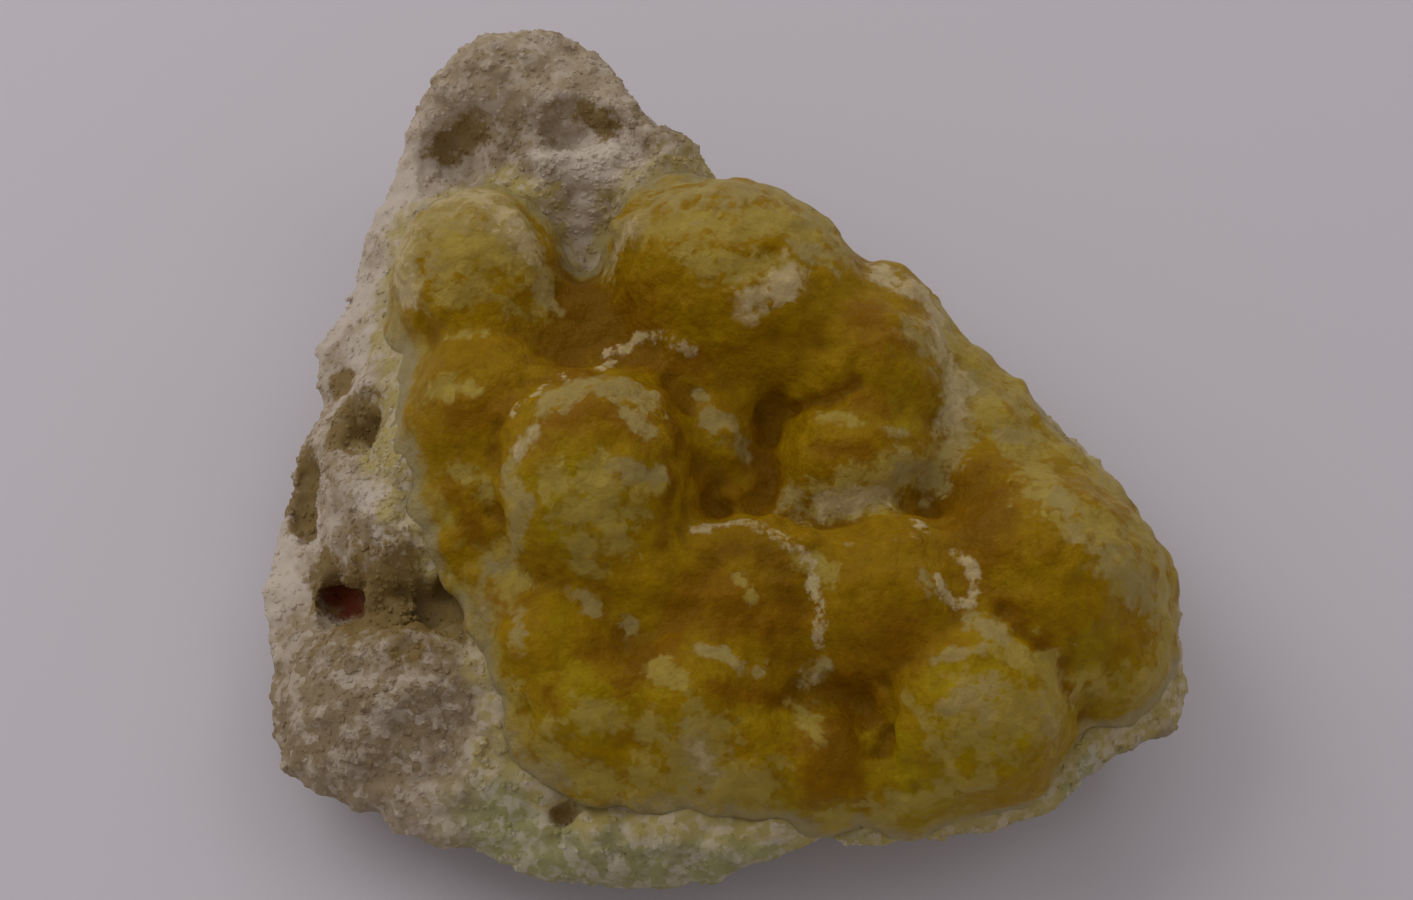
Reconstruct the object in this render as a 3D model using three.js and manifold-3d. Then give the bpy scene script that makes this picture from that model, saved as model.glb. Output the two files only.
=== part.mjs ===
// A hand specimen of yellow fluorite: honey-coloured balls of the mineral, grown together into one crust, on a
// pale block of quartz that was broken out of its vein. Millimetres, +Z up. The origin is under the middle of
// the specimen, in the plane of the flat break that it rests on.
import * as THREE from "three";
import { mergeVertices } from "three/addons/utils/BufferGeometryUtils.js";
import { ImprovedNoise } from "three/addons/math/ImprovedNoise.js";
import Module from "manifold-3d";

const wasm = await Module();
wasm.setup();

// ---------- driving dimensions ----------

const middle = [-0.417, -0.315]; // of the specimen's box, in the places given below
const heart = [-4, -4]; // the place that outlines are measured round
const rockSplits = 12; // splits of each side of the icosahedron that becomes the rock
const wallShare = 0.34; // how far up the rock's wall goes before it turns into its top
const footShare = 0.7; // and down, before it turns into its underside
const sunk = 1.5; // how far the underside goes below the flat break
const bedThickness = 3; // of the crust between its balls
const bedDepth = 3; // how far the crust's underside is sunk before the rock is cut out of it
const seatGap = 0.35; // between the crust and the rock under it

// The rock's widest line, anticlockwise from the east: [x, y, height].
const rimPoints = [
  [28.5, -7, 9],
  [25, -1.5, 9],
  [21, 3, 9.5],
  [16.5, 7, 10],
  [12, 10.5, 10],
  [8, 13.5, 11],
  [3.5, 16.5, 12],
  [-1, 19, 13.5],
  [-2.6, 21.2, 14.8],
  [-5.9, 22.9, 15],
  [-9, 27.2, 16.5],
  [-13, 27.7, 17],
  [-17.3, 27.1, 16],
  [-21.3, 24.3, 12.5],
  [-23.2, 19.5, 10.5],
  [-25.4, 14, 9],
  [-27.2, 8.5, 7.5],
  [-28.4, 2.5, 6.5],
  [-29.6, -3, 5.5],
  [-30, -8.5, 5],
  [-29.6, -14, 5],
  [-28.5, -19.8, 6],
  [-25.8, -22.5, 6],
  [-20.8, -24.8, 6],
  [-15, -26.8, 6],
  [-10.6, -28.4, 5.5],
  [-2.4, -28.6, 5.5],
  [0.8, -28, 6.5],
  [3.4, -27, 7.5],
  [9, -26.6, 8],
  [17, -25.8, 8],
  [21, -24.2, 8],
  [24.8, -21, 8],
  [28.6, -18.7, 7.5],
  [30, -15.6, 7.5],
  [28.8, -11.5, 8.5],
];

// The corners of the flat break that the specimen rests on. The walls run down to its straight sides.
const footPoints = [
  [24, -10],
  [19, 0],
  [6.5, 10.5],
  [-1.5, 16],
  [-7, 26],
  [-17, 25],
  [-22.5, 11],
  [-26.5, -4],
  [-24.5, -17],
  [-13, -21],
  [1, -21.5],
  [13, -20],
  [23.5, -16],
];

// The edge of the crust on the rock, anticlockwise from the east.
const crustPoints = [
  [27.4, -9],
  [24, -2],
  [19.6, 3.2],
  [14.4, 7.8],
  [8, 12.4],
  [2, 15.4],
  [-4, 14.2],
  [-8.4, 11],
  [-12.4, 13],
  [-16.4, 15.8],
  [-20.6, 14.4],
  [-21.8, 9.4],
  [-20.8, 3],
  [-19.4, -3],
  [-18.4, -8],
  [-16.4, -12.4],
  [-14.4, -17],
  [-12, -21.6],
  [-8, -23.8],
  [-2, -24.6],
  [5, -25.2],
  [12, -25],
  [19, -22.6],
  [24.4, -18],
  [27.2, -14],
];

// The broken faces of the rock's top. Each is a plane through a place, with its rise along x and along y.
const faces = [
  { name: "seat of the crust", at: [0, 0, 12], rise: [-0.03, 0.1] },
  { name: "left flank", at: [-20.5, 4, 12.2], rise: [0.75, 0.03] },
  { name: "front left", at: [-18, -13, 10.6], rise: [0.22, 0.16] },
  { name: "front", at: [0, -24, 9], rise: [0.02, 0.45] },
  { name: "right", at: [24, -12, 9.6], rise: [-0.35, 0.02] },
  { name: "back right", at: [8, 12, 12], rise: [-0.3, -0.3] },
];

// What stands proud of those faces or is sunk into them: a place, how far it reaches along x and y, how far it
// rises, how steep its sides are, and whether it is a square block.
const lumps = [
  { name: "back knob", at: [-13, 25.6], reach: [8.6, 5], rise: 3.6, steep: 3.4, square: true },
  { name: "ledge below the knob", at: [-7.6, 18.4], reach: [8.4, 4], rise: 1.7, steep: 2.6, square: true },
  { name: "step on the right of the knob", at: [-3.2, 20.6], reach: [3.4, 2.6], rise: 1.4, steep: 3.4 },
  { name: "left block", at: [-22.5, -1.5], reach: [6.5, 8.5], rise: 1.6, steep: 2.5 },
  { name: "lower left bulge", at: [-23, -17], reach: [8, 6], rise: 1.7, steep: 1.8 },
  { name: "front lip", at: [-2, -26.5], reach: [9, 2.6], rise: 1.3, steep: 2 },
  { name: "right knob", at: [28, -16.8], reach: [3, 3], rise: 1.6, steep: 3 },
];
const hollows = [
  { name: "left pit of the knob", at: [-17.4, 21], reach: [3.8, 2.8], rise: -3, steep: 1.5 },
  { name: "right pit of the knob", at: [-9.2, 21.2], reach: [3, 2], rise: -2, steep: 1.5 },
  { name: "valley between the big balls", at: [-9, 12.5], reach: [3.6, 6.5], rise: -2.2, steep: 1.4 },
  { name: "left pit", at: [-23.6, 1.4], reach: [1.9, 2.2], rise: -1.6, steep: 2 },
  { name: "left crevice", at: [-27.6, -2.4], reach: [1.2, 4.4], rise: -1.8, steep: 2 },
  { name: "groove above the bulge", at: [-21.5, -10.8], reach: [8, 1.8], rise: -1.6, steep: 2 },
  { name: "rusty hole", at: [-25.2, -9.6], reach: [1.5, 1.5], rise: -2.2, steep: 2.2 },
  { name: "front hole", at: [-10.4, -24.6], reach: [1.5, 1.2], rise: -1.6, steep: 2 },
];

// Shell-shaped breaks in the walls, as quartz chips: which way each faces from the heart in degrees, how
// high its middle is, how wide it is from its middle to its edge, and how deep it goes.
const chips = [
  { turn: -150, height: 1, wide: 6, depth: 2 },
  { turn: -118, height: 1.5, wide: 7, depth: 2.2 },
  { turn: -82, height: 0.5, wide: 9, depth: 2.6 },
  { turn: -52, height: 2, wide: 7, depth: 2 },
  { turn: -28, height: 3, wide: 6, depth: 1.8 },
  { turn: -4, height: 1, wide: 9, depth: 2.6 },
  { turn: 24, height: 3, wide: 7, depth: 2.4 },
  { turn: 46, height: 1, wide: 10, depth: 3 },
  { turn: 72, height: 6, wide: 6, depth: 2 },
  { turn: 84, height: 2, wide: 7, depth: 2.4 },
  { turn: 97, height: 9, wide: 6, depth: 2 },
  { turn: 112, height: 4, wide: 8, depth: 2.8 },
  { turn: 135, height: 3, wide: 8, depth: 2.2 },
  { turn: 165, height: 1, wide: 7, depth: 1.8 },
];
const chipBelow = 2; // how far below the outline the breaks begin

// The balls of the crust: centre and radius, and for a long one how much longer it is and which way it points.
const balls = [
  { name: "crest", at: [0.7, 9.2, 14], radius: 7.6, longer: 1.2, turn: -30 },
  { name: "upper left", at: [-16.6, 10.4, 13.6], radius: 5.7, longer: 1.1, turn: 90 },
  { name: "left shoulder", at: [-15.6, 1.2, 12.4], radius: 5.8 },
  { name: "left skirt", at: [-16.2, -4.6, 11], radius: 4 },
  { name: "centre", at: [-8.4, -4.6, 14.2], radius: 6.8, longer: 1.12, turn: 90 },
  { name: "centre lobe", at: [-4.8, -10.8, 13.2], radius: 4.2 },
  { name: "behind the centre", at: [-4.6, 3.2, 12.8], radius: 3.7 },
  { name: "finger", at: [-0.8, -0.2, 13.6], radius: 2.6, longer: 1.6, turn: 80 },
  { name: "right of the crest", at: [9, 3.4, 13.4], radius: 5.9 },
  { name: "right inner", at: [8.2, -2.6, 12.8], radius: 5.3 },
  { name: "ringed", at: [1.6, -12.4, 13], radius: 5.5 },
  { name: "south", at: [10.2, -13, 13], radius: 6 },
  { name: "lower right", at: [15.4, -19.6, 12.2], radius: 6.2 },
  { name: "east", at: [20, -11, 11.6], radius: 7.8 },
  { name: "east tip", at: [23.6, -14.2, 10.4], radius: 4.9 },
  { name: "east upper", at: [16.6, -5, 12.6], radius: 3.4 },
  { name: "pale back", at: [11.2, 6.9, 11.5], radius: 4 },
  { name: "pale middle", at: [14.2, 3.4, 11.2], radius: 3.9 },
  { name: "pale right", at: [17, -0.6, 10.8], radius: 4.4 },
  { name: "pale far", at: [20, -3.6, 10.8], radius: 4 },
  { name: "pale edge", at: [22.4, -6.6, 10.6], radius: 4.5 },
  { name: "pale tip", at: [25, -10.4, 10], radius: 3.9 },
  { name: "south west", at: [-10.6, -14.6, 11.4], radius: 4.1 },
  { name: "low west", at: [-8.6, -18.6, 9.8], radius: 4.8 },
  { name: "low centre", at: [-2, -18.2, 10.8], radius: 5.4 },
  { name: "low bead", at: [1, -21.6, 10.4], radius: 3.9 },
  { name: "low edge", at: [6, -22.2, 9.8], radius: 4 },
  { name: "low right edge", at: [11, -22.8, 9.8], radius: 3.6 },
  { name: "west bead", at: [-14.2, -12, 11.2], radius: 2 },
  { name: "south west bead", at: [-8.2, -21.8, 9.6], radius: 2.2 },
  { name: "low left bead", at: [-4.6, -22.2, 9.8], radius: 2.7 },
  { name: "valley", at: [-9.8, 7.8, 11.8], radius: 3.4 },
];

// The ringed ball broke open: its outer skin is left as a rim round the core.
const ringCore = 4.3;
const ringOpening = { at: [0.6, -14.2, 18.2], radius: 5.6 };

// ---------- shaping ----------

const perlin = new ImprovedNoise();
const clamp01 = (t) => Math.min(1, Math.max(0, t));
const smooth = (t) => t * t * (3 - 2 * t);

// Smooth noise from -1 to 1 whose bumps are about size millimetres across. Seed picks another part of it.
const noise = (p, size, seed) =>
  perlin.noise(p.x / size + seed, p.y / size - seed, p.z / size + 2 * seed);

// The same closed surface with each vertex once.
function merged(geometry) {
  const bare = geometry.clone();
  bare.deleteAttribute("normal");
  bare.deleteAttribute("uv");
  return mergeVertices(bare, 1e-4);
}

// A closed three.js geometry as a solid that can be joined and cut.
function solidOf(geometry) {
  const surface = merged(geometry);
  return new wasm.Manifold(
    new wasm.Mesh({
      numProp: 3,
      vertProperties: new Float32Array(surface.attributes.position.array),
      triVerts: new Uint32Array(surface.index.array),
    }),
  );
}

function geometryOf(solid) {
  const mesh = solid.getMesh();
  const geometry = new THREE.BufferGeometry();
  geometry.setAttribute("position", new THREE.BufferAttribute(mesh.vertProperties, 3));
  geometry.setIndex(new THREE.BufferAttribute(mesh.triVerts, 1));
  geometry.computeVertexNormals();
  return geometry;
}

// A sphere of even triangles, each vertex put where place says.
function shaped(splits, place) {
  const geometry = new THREE.IcosahedronGeometry(1, splits);
  const position = geometry.attributes.position;
  const direction = new THREE.Vector3();
  for (let i = 0; i < position.count; i++) {
    direction.fromBufferAttribute(position, i).normalize();
    position.setXYZ(i, ...place(direction).toArray());
  }
  return merged(geometry);
}

// Moves a merged surface outwards everywhere.
function grown(geometry, by) {
  geometry.computeVertexNormals();
  const { position, normal } = geometry.attributes;
  const p = new THREE.Vector3();
  const out = new THREE.Vector3();
  for (let i = 0; i < position.count; i++) {
    out.fromBufferAttribute(normal, i);
    p.fromBufferAttribute(position, i).addScaledVector(out, by);
    position.setXYZ(i, p.x, p.y, p.z);
  }
  return geometry;
}

// ---------- rock ----------

// A closed outline as its reach from the heart, and its height, for each angle. Its sides are rounded
// into each other unless it is straight.
function outlineOf(points, straight = false) {
  const curve = new THREE.CatmullRomCurve3(
    points.map(([x, y, z = 0]) => new THREE.Vector3(x, y, z)),
    true,
    straight ? "catmullrom" : "centripetal",
    0,
  );
  const rows = curve.getPoints(12 * points.length).map((p) => {
    const [x, y] = [p.x - heart[0], p.y - heart[1]];
    return { angle: Math.atan2(y, x), reach: Math.hypot(x, y), height: p.z };
  });
  rows.sort((a, b) => a.angle - b.angle);
  const [first, last] = [rows[0], rows[rows.length - 1]];
  rows.unshift({ ...last, angle: last.angle - 2 * Math.PI });
  rows.push({ ...first, angle: first.angle + 2 * Math.PI });
  return rows;
}

function outlineAt(outline, angle) {
  const after = outline.findIndex((row) => row.angle > angle);
  const [a, b] = [outline[after - 1], outline[after]];
  const t = (angle - a.angle) / (b.angle - a.angle || 1);
  return {
    reach: a.reach + (b.reach - a.reach) * t,
    height: a.height + (b.height - a.height) * t,
  };
}

const rim = outlineOf(rimPoints);
const foot = outlineOf(footPoints, true);
const crustEdge = outlineOf(crustPoints);

function lumpHeight({ at, reach, rise, steep, square }, x, y) {
  const across = Math.abs(x - at[0]) / reach[0];
  const along = Math.abs(y - at[1]) / reach[1];
  const far = square ? (across ** 4 + along ** 4) ** 0.25 : Math.hypot(across, along);
  return rise * smooth(clamp01((1 - far) * steep));
}

function topHeight(x, y) {
  const planes = faces.map(
    ({ at, rise }) => at[2] + rise[0] * (x - at[0]) + rise[1] * (y - at[1]),
  );
  const proud = [...lumps, ...hollows].reduce((sum, lump) => sum + lumpHeight(lump, x, y), 0);
  return Math.min(...planes) + proud;
}

// Broken quartz: broad swells with creases between them, and a finer grain.
function roughness(p) {
  const swell = 1 - 2.6 * Math.abs(noise(p, 9, 3.1));
  const grain = noise(p, 3.6, 11.3);
  return 0.45 * swell + 0.7 * grain;
}

// How deep the breaks are at one place on the wall.
function chipDepth(angle, reach, height, below) {
  const depths = chips.map(({ turn, height: middle, wide, depth }) => {
    const away = Math.abs(angle - THREE.MathUtils.degToRad(turn));
    const across = reach * Math.min(away, 2 * Math.PI - away);
    return depth * Math.max(0, 1 - (across ** 2 + (height - middle) ** 2) / wide ** 2);
  });
  return Math.max(...depths) * smooth(clamp01(below / chipBelow - 1));
}

// The rock's surface in one direction.
function rockPlace(direction) {
  const angle = Math.atan2(direction.y, direction.x);
  const edge = outlineAt(rim, angle);
  const up = clamp01(direction.z / wallShare);
  const down = clamp01(-direction.z / footShare);
  const out = Math.hypot(direction.x, direction.y);
  const height = edge.height - (edge.height + sunk) * down;
  let reach = edge.reach;
  if (direction.z > 0) {
    reach *= out ** 0.85;
  } else {
    reach += (outlineAt(foot, angle).reach - edge.reach) * down;
    reach -= chipDepth(angle, reach, height, edge.height - height);
    reach *= Math.min(1, out / Math.sqrt(1 - footShare ** 2));
  }
  const p = new THREE.Vector3(
    heart[0] + reach * Math.cos(angle),
    heart[1] + reach * Math.sin(angle),
    height,
  );
  if (up > 0) p.z += (topHeight(p.x, p.y) - edge.height) * smooth(up);
  const rough = roughness(p);
  const side = 1 - Math.max(up, down ** 3);
  p.x += rough * side * Math.cos(angle);
  p.y += rough * side * Math.sin(angle);
  p.z += rough * up;
  return p;
}

function rockSolid(gap = 0) {
  const whole = grown(shaped(rockSplits, rockPlace), gap);
  const below = new THREE.BoxGeometry(200, 200, 50).translate(0, 0, -25);
  return solidOf(whole).subtract(solidOf(below));
}

// ---------- crust ----------

function splitsFor(radius) {
  if (radius > 7) return 4;
  if (radius > 3.5) return 3;
  return 2;
}

function ballSolid({ at, radius, longer = 1, turn = 0 }) {
  const centre = new THREE.Vector3(...at);
  const along = THREE.MathUtils.degToRad(turn);
  const axis = new THREE.Vector3(Math.cos(along), Math.sin(along), 0);
  const ball = shaped(splitsFor(radius), (direction) => {
    const p = direction.clone().multiplyScalar(radius);
    p.addScaledVector(axis, (longer - 1) * p.dot(axis)).add(centre);
    return p.addScaledVector(direction, 0.3 * noise(p, 4.5, 7.7));
  });
  return solidOf(ball);
}

// The layer that the balls grow from: it follows the rock and thins out towards its edge.
function bedSolid() {
  const bed = shaped(5, (direction) => {
    const angle = Math.atan2(direction.y, direction.x);
    const reach = outlineAt(crustEdge, angle).reach * Math.hypot(direction.x, direction.y);
    const x = heart[0] + reach * Math.cos(angle);
    const y = heart[1] + reach * Math.sin(angle);
    const thick = direction.z > 0 ? bedThickness : bedDepth;
    return new THREE.Vector3(x, y, topHeight(x, y) + thick * direction.z);
  });
  return solidOf(bed);
}

function crustSolid() {
  const ringed = balls.find((ball) => ball.name === "ringed");
  const opened = ballSolid(ringed).subtract(ballSolid(ringOpening));
  const whole = balls
    .filter((ball) => ball !== ringed)
    .map(ballSolid)
    .reduce((joined, ball) => joined.add(ball), opened)
    .add(ballSolid({ ...ringed, radius: ringCore }))
    .add(bedSolid());
  return whole.subtract(rockSolid(seatGap));
}

// ---------- assembly ----------

const quartz = new THREE.MeshStandardMaterial({ color: 0xb9b2a2, roughness: 0.8 });
const fluorite = new THREE.MeshStandardMaterial({ color: 0xa98a12, roughness: 0.25 });

function named(name, solid, material) {
  const mesh = new THREE.Mesh(geometryOf(solid), material);
  mesh.name = name;
  mesh.position.set(-middle[0], -middle[1], 0);
  return mesh;
}

const group = new THREE.Group();
group.add(named("quartz_matrix", rockSolid(), quartz));
group.add(named("fluorite_crust", crustSolid(), fluorite));

export default group;
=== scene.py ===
# A hand specimen of yellow fluorite: honey-coloured balls of the mineral on a pale block of sugary quartz.
# Metres, +Z up. Sizes in the tables are in millimetres and are turned into metres where they are used.
import math

import bmesh
import bpy
import numpy as np
from mathutils import Matrix, Vector
from mathutils.bvhtree import BVHTree
from mathutils.kdtree import KDTree


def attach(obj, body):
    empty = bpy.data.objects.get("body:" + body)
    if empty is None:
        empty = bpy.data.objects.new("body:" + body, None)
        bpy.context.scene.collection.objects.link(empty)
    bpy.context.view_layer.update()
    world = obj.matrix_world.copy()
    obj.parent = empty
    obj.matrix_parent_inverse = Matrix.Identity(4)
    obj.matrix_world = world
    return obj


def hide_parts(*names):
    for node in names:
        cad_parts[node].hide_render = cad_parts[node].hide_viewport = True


mm = 0.001
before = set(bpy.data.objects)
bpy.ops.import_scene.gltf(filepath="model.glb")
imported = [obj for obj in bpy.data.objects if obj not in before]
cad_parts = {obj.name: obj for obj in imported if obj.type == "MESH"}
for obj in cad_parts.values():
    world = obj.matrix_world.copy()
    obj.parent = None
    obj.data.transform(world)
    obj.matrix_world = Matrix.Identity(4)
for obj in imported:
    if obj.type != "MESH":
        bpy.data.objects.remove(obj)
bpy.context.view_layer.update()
scene = bpy.context.scene
middle = Vector((-0.417, -0.315, 0))  # of the specimen's box, in the millimetre places below


def place(x, y, z):
    # a place given in millimetres, as metres in the frame
    return (Vector((x, y, z)) - middle) * mm


view = {
    "target": (-1.4, 0, 10),
    "elevation": 62,  # degrees above the floor
    "distance": 240,
    "halfWidth": 46.28,  # what half of the view's width takes in at the target
    "points": (1413, 900),  # the view's width and height in points, counted from its upper left corner
    "sensor": 36,
    "nearest": 0.01,  # metres in front of the eye
}

floorLook = {"size": 3.0, "colour": (0.66, 0.625, 0.66), "roughness": 0.9}

lamps = [
    # name, where it hangs in metres, its sides in metres, watts
    ("overhead", (-0.31, 0.19, 0.36), (0.36, 0.36), 0.72),
    ("backWindow", (0.02, 0.62, 0.40), (0.70, 0.30), 0.74),
    ("rightPanel", (0.40, 0.10, 0.50), (0.30, 0.30), 0.2),
]
lampTarget = (0, 0, 10)  # the place that all lamps point at
roomLight = {"colour": (0.9, 0.86, 0.9), "strength": 0.372}


def sightLine(across, down):
    # where the eye is, and which way it looks at a point of the view
    tilt = math.radians(view["elevation"])
    ahead = Vector((0, math.cos(tilt), -math.sin(tilt))) * view["distance"]
    above = Vector((0, math.sin(tilt), math.cos(tilt)))
    wide, high = view["points"]
    size = view["halfWidth"] / (wide / 2)
    way = ahead + Vector((1, 0, 0)) * (across - wide / 2) * size + above * (high / 2 - down) * size
    return place(*view["target"]) - ahead * mm, way.normalized()


def aim(thing, target):
    thing.rotation_euler = (target - thing.location).to_track_quat("-Z", "Y").to_euler()


def makeCamera():
    # at the eye of the view, and as wide as the view
    data = bpy.data.cameras.new("camera")
    data.sensor_width = view["sensor"]
    data.lens = view["sensor"] / 2 * view["distance"] / view["halfWidth"]
    data.clip_start = view["nearest"]
    camera = bpy.data.objects.new("camera", data)
    camera.location = sightLine(0, 0)[0]
    scene.collection.objects.link(camera)
    aim(camera, place(*view["target"]))
    scene.camera = camera


def makeLamps():
    for name, where, sides, watts in lamps:
        data = bpy.data.lights.new(name, "AREA")
        data.shape = "RECTANGLE"
        data.size, data.size_y = sides
        data.energy = watts
        lamp = bpy.data.objects.new(name, data)
        lamp.location = where
        scene.collection.objects.link(lamp)
        aim(lamp, place(*lampTarget))
    world = bpy.data.worlds.new("room")
    world.use_nodes = True
    background = world.node_tree.nodes["Background"]
    background.inputs["Color"].default_value = (*roomLight["colour"], 1)
    background.inputs["Strength"].default_value = roomLight["strength"]
    scene.world = world


def makeFloor():
    half = floorLook["size"] / 2
    mesh = bpy.data.meshes.new("floor")
    corners = [(-half, -half, 0), (half, -half, 0), (half, half, 0), (-half, half, 0)]
    mesh.from_pydata(corners, [], [(0, 1, 2, 3)])
    floor = bpy.data.objects.new("floor", mesh)
    scene.collection.objects.link(floor)
    material = bpy.data.materials.new("paper")
    material.use_nodes = True
    shader = material.node_tree.nodes["Principled BSDF"]
    shader.inputs["Base Color"].default_value = (*floorLook["colour"], 1)
    shader.inputs["Roughness"].default_value = floorLook["roughness"]
    mesh.materials.append(material)


makeCamera()
makeLamps()
makeFloor()
scene.view_settings.view_transform = "Standard"
print("camera, lamps and floor are up")


def copyOfNode(name):
    # the node's own solid, with each corner once
    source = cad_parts[name]
    mesh = source.data.copy()
    build = bmesh.new()
    build.from_mesh(mesh)
    bmesh.ops.remove_doubles(build, verts=build.verts, dist=1e-6)
    build.to_mesh(mesh)
    build.free()
    mesh.materials.clear()
    return newPiece(name + "Copy", mesh)


def newPiece(name, mesh):
    piece = bpy.data.objects.new(name, mesh)
    scene.collection.objects.link(piece)
    return piece


def applied(piece):
    # the piece with its modifiers made part of its mesh
    bpy.context.view_layer.update()
    graph = bpy.context.evaluated_depsgraph_get()
    mesh = bpy.data.meshes.new_from_object(piece.evaluated_get(graph))
    piece.modifiers.clear()
    old = piece.data
    piece.data = mesh
    bpy.data.meshes.remove(old)
    return piece


def remeshed(piece, voxel):
    remesh = piece.modifiers.new("remesh", "REMESH")
    remesh.mode = "VOXEL"
    remesh.voxel_size = voxel * mm
    return applied(piece)


def withoutCrumbs(piece):
    # only the largest part of the mesh, without bits that have come off it
    build = bmesh.new()
    build.from_mesh(piece.data)
    parts, met = [], set()
    for start in build.verts:
        if start in met:
            continue
        part, nextOnes = [], [start]
        met.add(start)
        while nextOnes:
            part.append(nextOnes.pop())
            beside = {edge.other_vert(part[-1]) for edge in part[-1].link_edges} - met
            met |= beside
            nextOnes += beside
        parts.append(part)
    parts.sort(key=len)
    crumbs = [vertex for part in parts[:-1] for vertex in part]
    bmesh.ops.delete(build, geom=crumbs, context="VERTS")
    build.to_mesh(piece.data)
    build.free()
    return piece


def shaded(piece, smoothly=True):
    piece.data.polygons.foreach_set("use_smooth", [smoothly] * len(piece.data.polygons))
    return piece


def smoothed(piece, times):
    smoother = piece.modifiers.new("smooth", "SMOOTH")
    smoother.factor = 0.5  # of the way to the mean of the neighbours, in each round
    smoother.iterations = times
    return applied(piece)


def vectors(piece, name):
    values = np.empty(len(piece.data.vertices) * 3, np.float32)
    piece.data.vertices.foreach_get(name, values)
    return values.reshape(-1, 3).astype(float)


def points(piece):
    return vectors(piece, "co")


def normals(piece):
    return vectors(piece, "normal")


def putPoints(piece, co):
    piece.data.vertices.foreach_set("co", co.astype(np.float32).ravel())


def attribute(piece, name, values):
    layer = piece.data.attributes.get(name) or piece.data.attributes.new(name, "FLOAT", "POINT")
    layer.data.foreach_set("value", np.asarray(values, np.float32))


def spread(piece, values, times):
    # each vertex takes the mean of itself and its neighbours, so that a value spreads over the surface
    edges = np.empty(len(piece.data.edges) * 2, np.int32)
    piece.data.edges.foreach_get("vertices", edges)
    a, b = edges.reshape(-1, 2).T
    count = len(piece.data.vertices)
    around = np.bincount(a, minlength=count) + np.bincount(b, minlength=count)
    for _ in range(times):
        total = np.bincount(a, values[b], count) + np.bincount(b, values[a], count)
        values = (values + total) / (1 + around)
    return values


def filled(piece, rounds, share):
    # lets creases fill up as a film of soap would, and leaves what stands proud as it is
    for _ in range(rounds):
        co = points(piece)
        out = normals(piece)
        for _ in range(meltShape["steps"]):
            pull = np.stack([spread(piece, co[:, axis], 1) for axis in range(3)], axis=1) - co
            hollow = (pull * out).sum(axis=1) > 0
            co += pull * (hollow * share)[:, None]
        putPoints(piece, co)
        piece.data.update()
    return piece


def hollowness(piece, times):
    # above 0 in creases and pits, below 0 on ridges, in millimetres of sag over the spread
    co = points(piece)
    smooth = np.stack([spread(piece, co[:, axis], times) for axis in range(3)], axis=1)
    return ((smooth - co) * normals(piece)).sum(axis=1) / mm


def seenOn(piece, rows):
    # the rows with their paths as places in the frame. Two numbers are the point of the view where a place on
    # the piece is seen, and three are its millimetres.
    tree = BVHTree.FromObject(piece, bpy.context.evaluated_depsgraph_get())

    def found(at):
        return place(*at) if len(at) == 3 else tree.ray_cast(*sightLine(*at))[0]

    return [(name, [spot for spot in map(found, path) if spot], *rest) for name, path, *rest in rows]


def nearness(co, marks):
    # 1 on the nearest mark, 0 beyond them all; a mark is a place or a path of places, and how far it reaches
    best = np.zeros(len(co))
    for _, path, reach in marks:
        corners = [np.array(spot) for spot in path]
        for start, end in zip(corners, corners[1:] or corners):
            along = end - start
            part = np.clip((co - start) @ along / max(along @ along, 1e-12), 0, 1)
            away = np.linalg.norm(co - start - part[:, None] * along, axis=1)
            best = np.maximum(best, 1 - away / (reach * mm))
    return np.clip(best, 0, 1)


def depthInside(piece, solid):
    # how far each vertex of the piece lies inside the closed solid, in metres, below 0 outside it
    tree = BVHTree.FromObject(solid, bpy.context.evaluated_depsgraph_get())
    depths = np.empty(len(piece.data.vertices))
    for i, vertex in enumerate(piece.data.vertices):
        spot, out, _, _ = tree.find_nearest(vertex.co)
        depths[i] = (spot - vertex.co).dot(out)
    return depths


def lightened(piece, where, share):
    # fewer faces where nobody sees them
    hidden = piece.vertex_groups.new(name="hidden")
    hidden.add(np.flatnonzero(where).tolist(), 1.0, "REPLACE")
    fewer = piece.modifiers.new("fewer", "DECIMATE")
    fewer.vertex_group = "hidden"
    fewer.ratio = share
    applied(piece)
    piece.vertex_groups.clear()
    return piece


def newTree(name, inputs):
    # a tree with a Geometry input and output and the named inputs: name, kind of socket, value
    tree = bpy.data.node_groups.new(name, "GeometryNodeTree")
    tree.interface.new_socket("Geometry", in_out="INPUT", socket_type="NodeSocketGeometry")
    for label, kind, value in inputs:
        socket = tree.interface.new_socket(label, in_out="INPUT", socket_type=kind)
        if value is not None:
            socket.default_value = value
    tree.interface.new_socket("Geometry", in_out="OUTPUT", socket_type="NodeSocketGeometry")
    return tree, tree.nodes.new("NodeGroupInput"), tree.nodes.new("NodeGroupOutput")


def put(tree, value, socket):
    # links an output socket to an input, or sets the input to a plain value
    if isinstance(value, bpy.types.NodeSocket):
        tree.links.new(value, socket)
    else:
        socket.default_value = value


def node(tree, kind, settings=None, **inputs):
    # a new node; inputs are values or output sockets, by the socket's name with its spaces left out
    made = tree.nodes.new(kind)
    for key, value in (settings or {}).items():
        setattr(made, key, value)
    sockets = {socket.name.replace(" ", ""): socket for socket in reversed(made.inputs) if socket.enabled}
    for key, value in inputs.items():
        put(tree, value, sockets[key])
    return made


def maths(tree, operation, first, second=0.0, third=0.0, clamp=False):
    made = tree.nodes.new("ShaderNodeMath")
    made.operation = operation
    made.use_clamp = clamp
    for socket, value in zip(made.inputs, (first, second, third)):
        put(tree, value, socket)
    return made.outputs[0]


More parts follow.
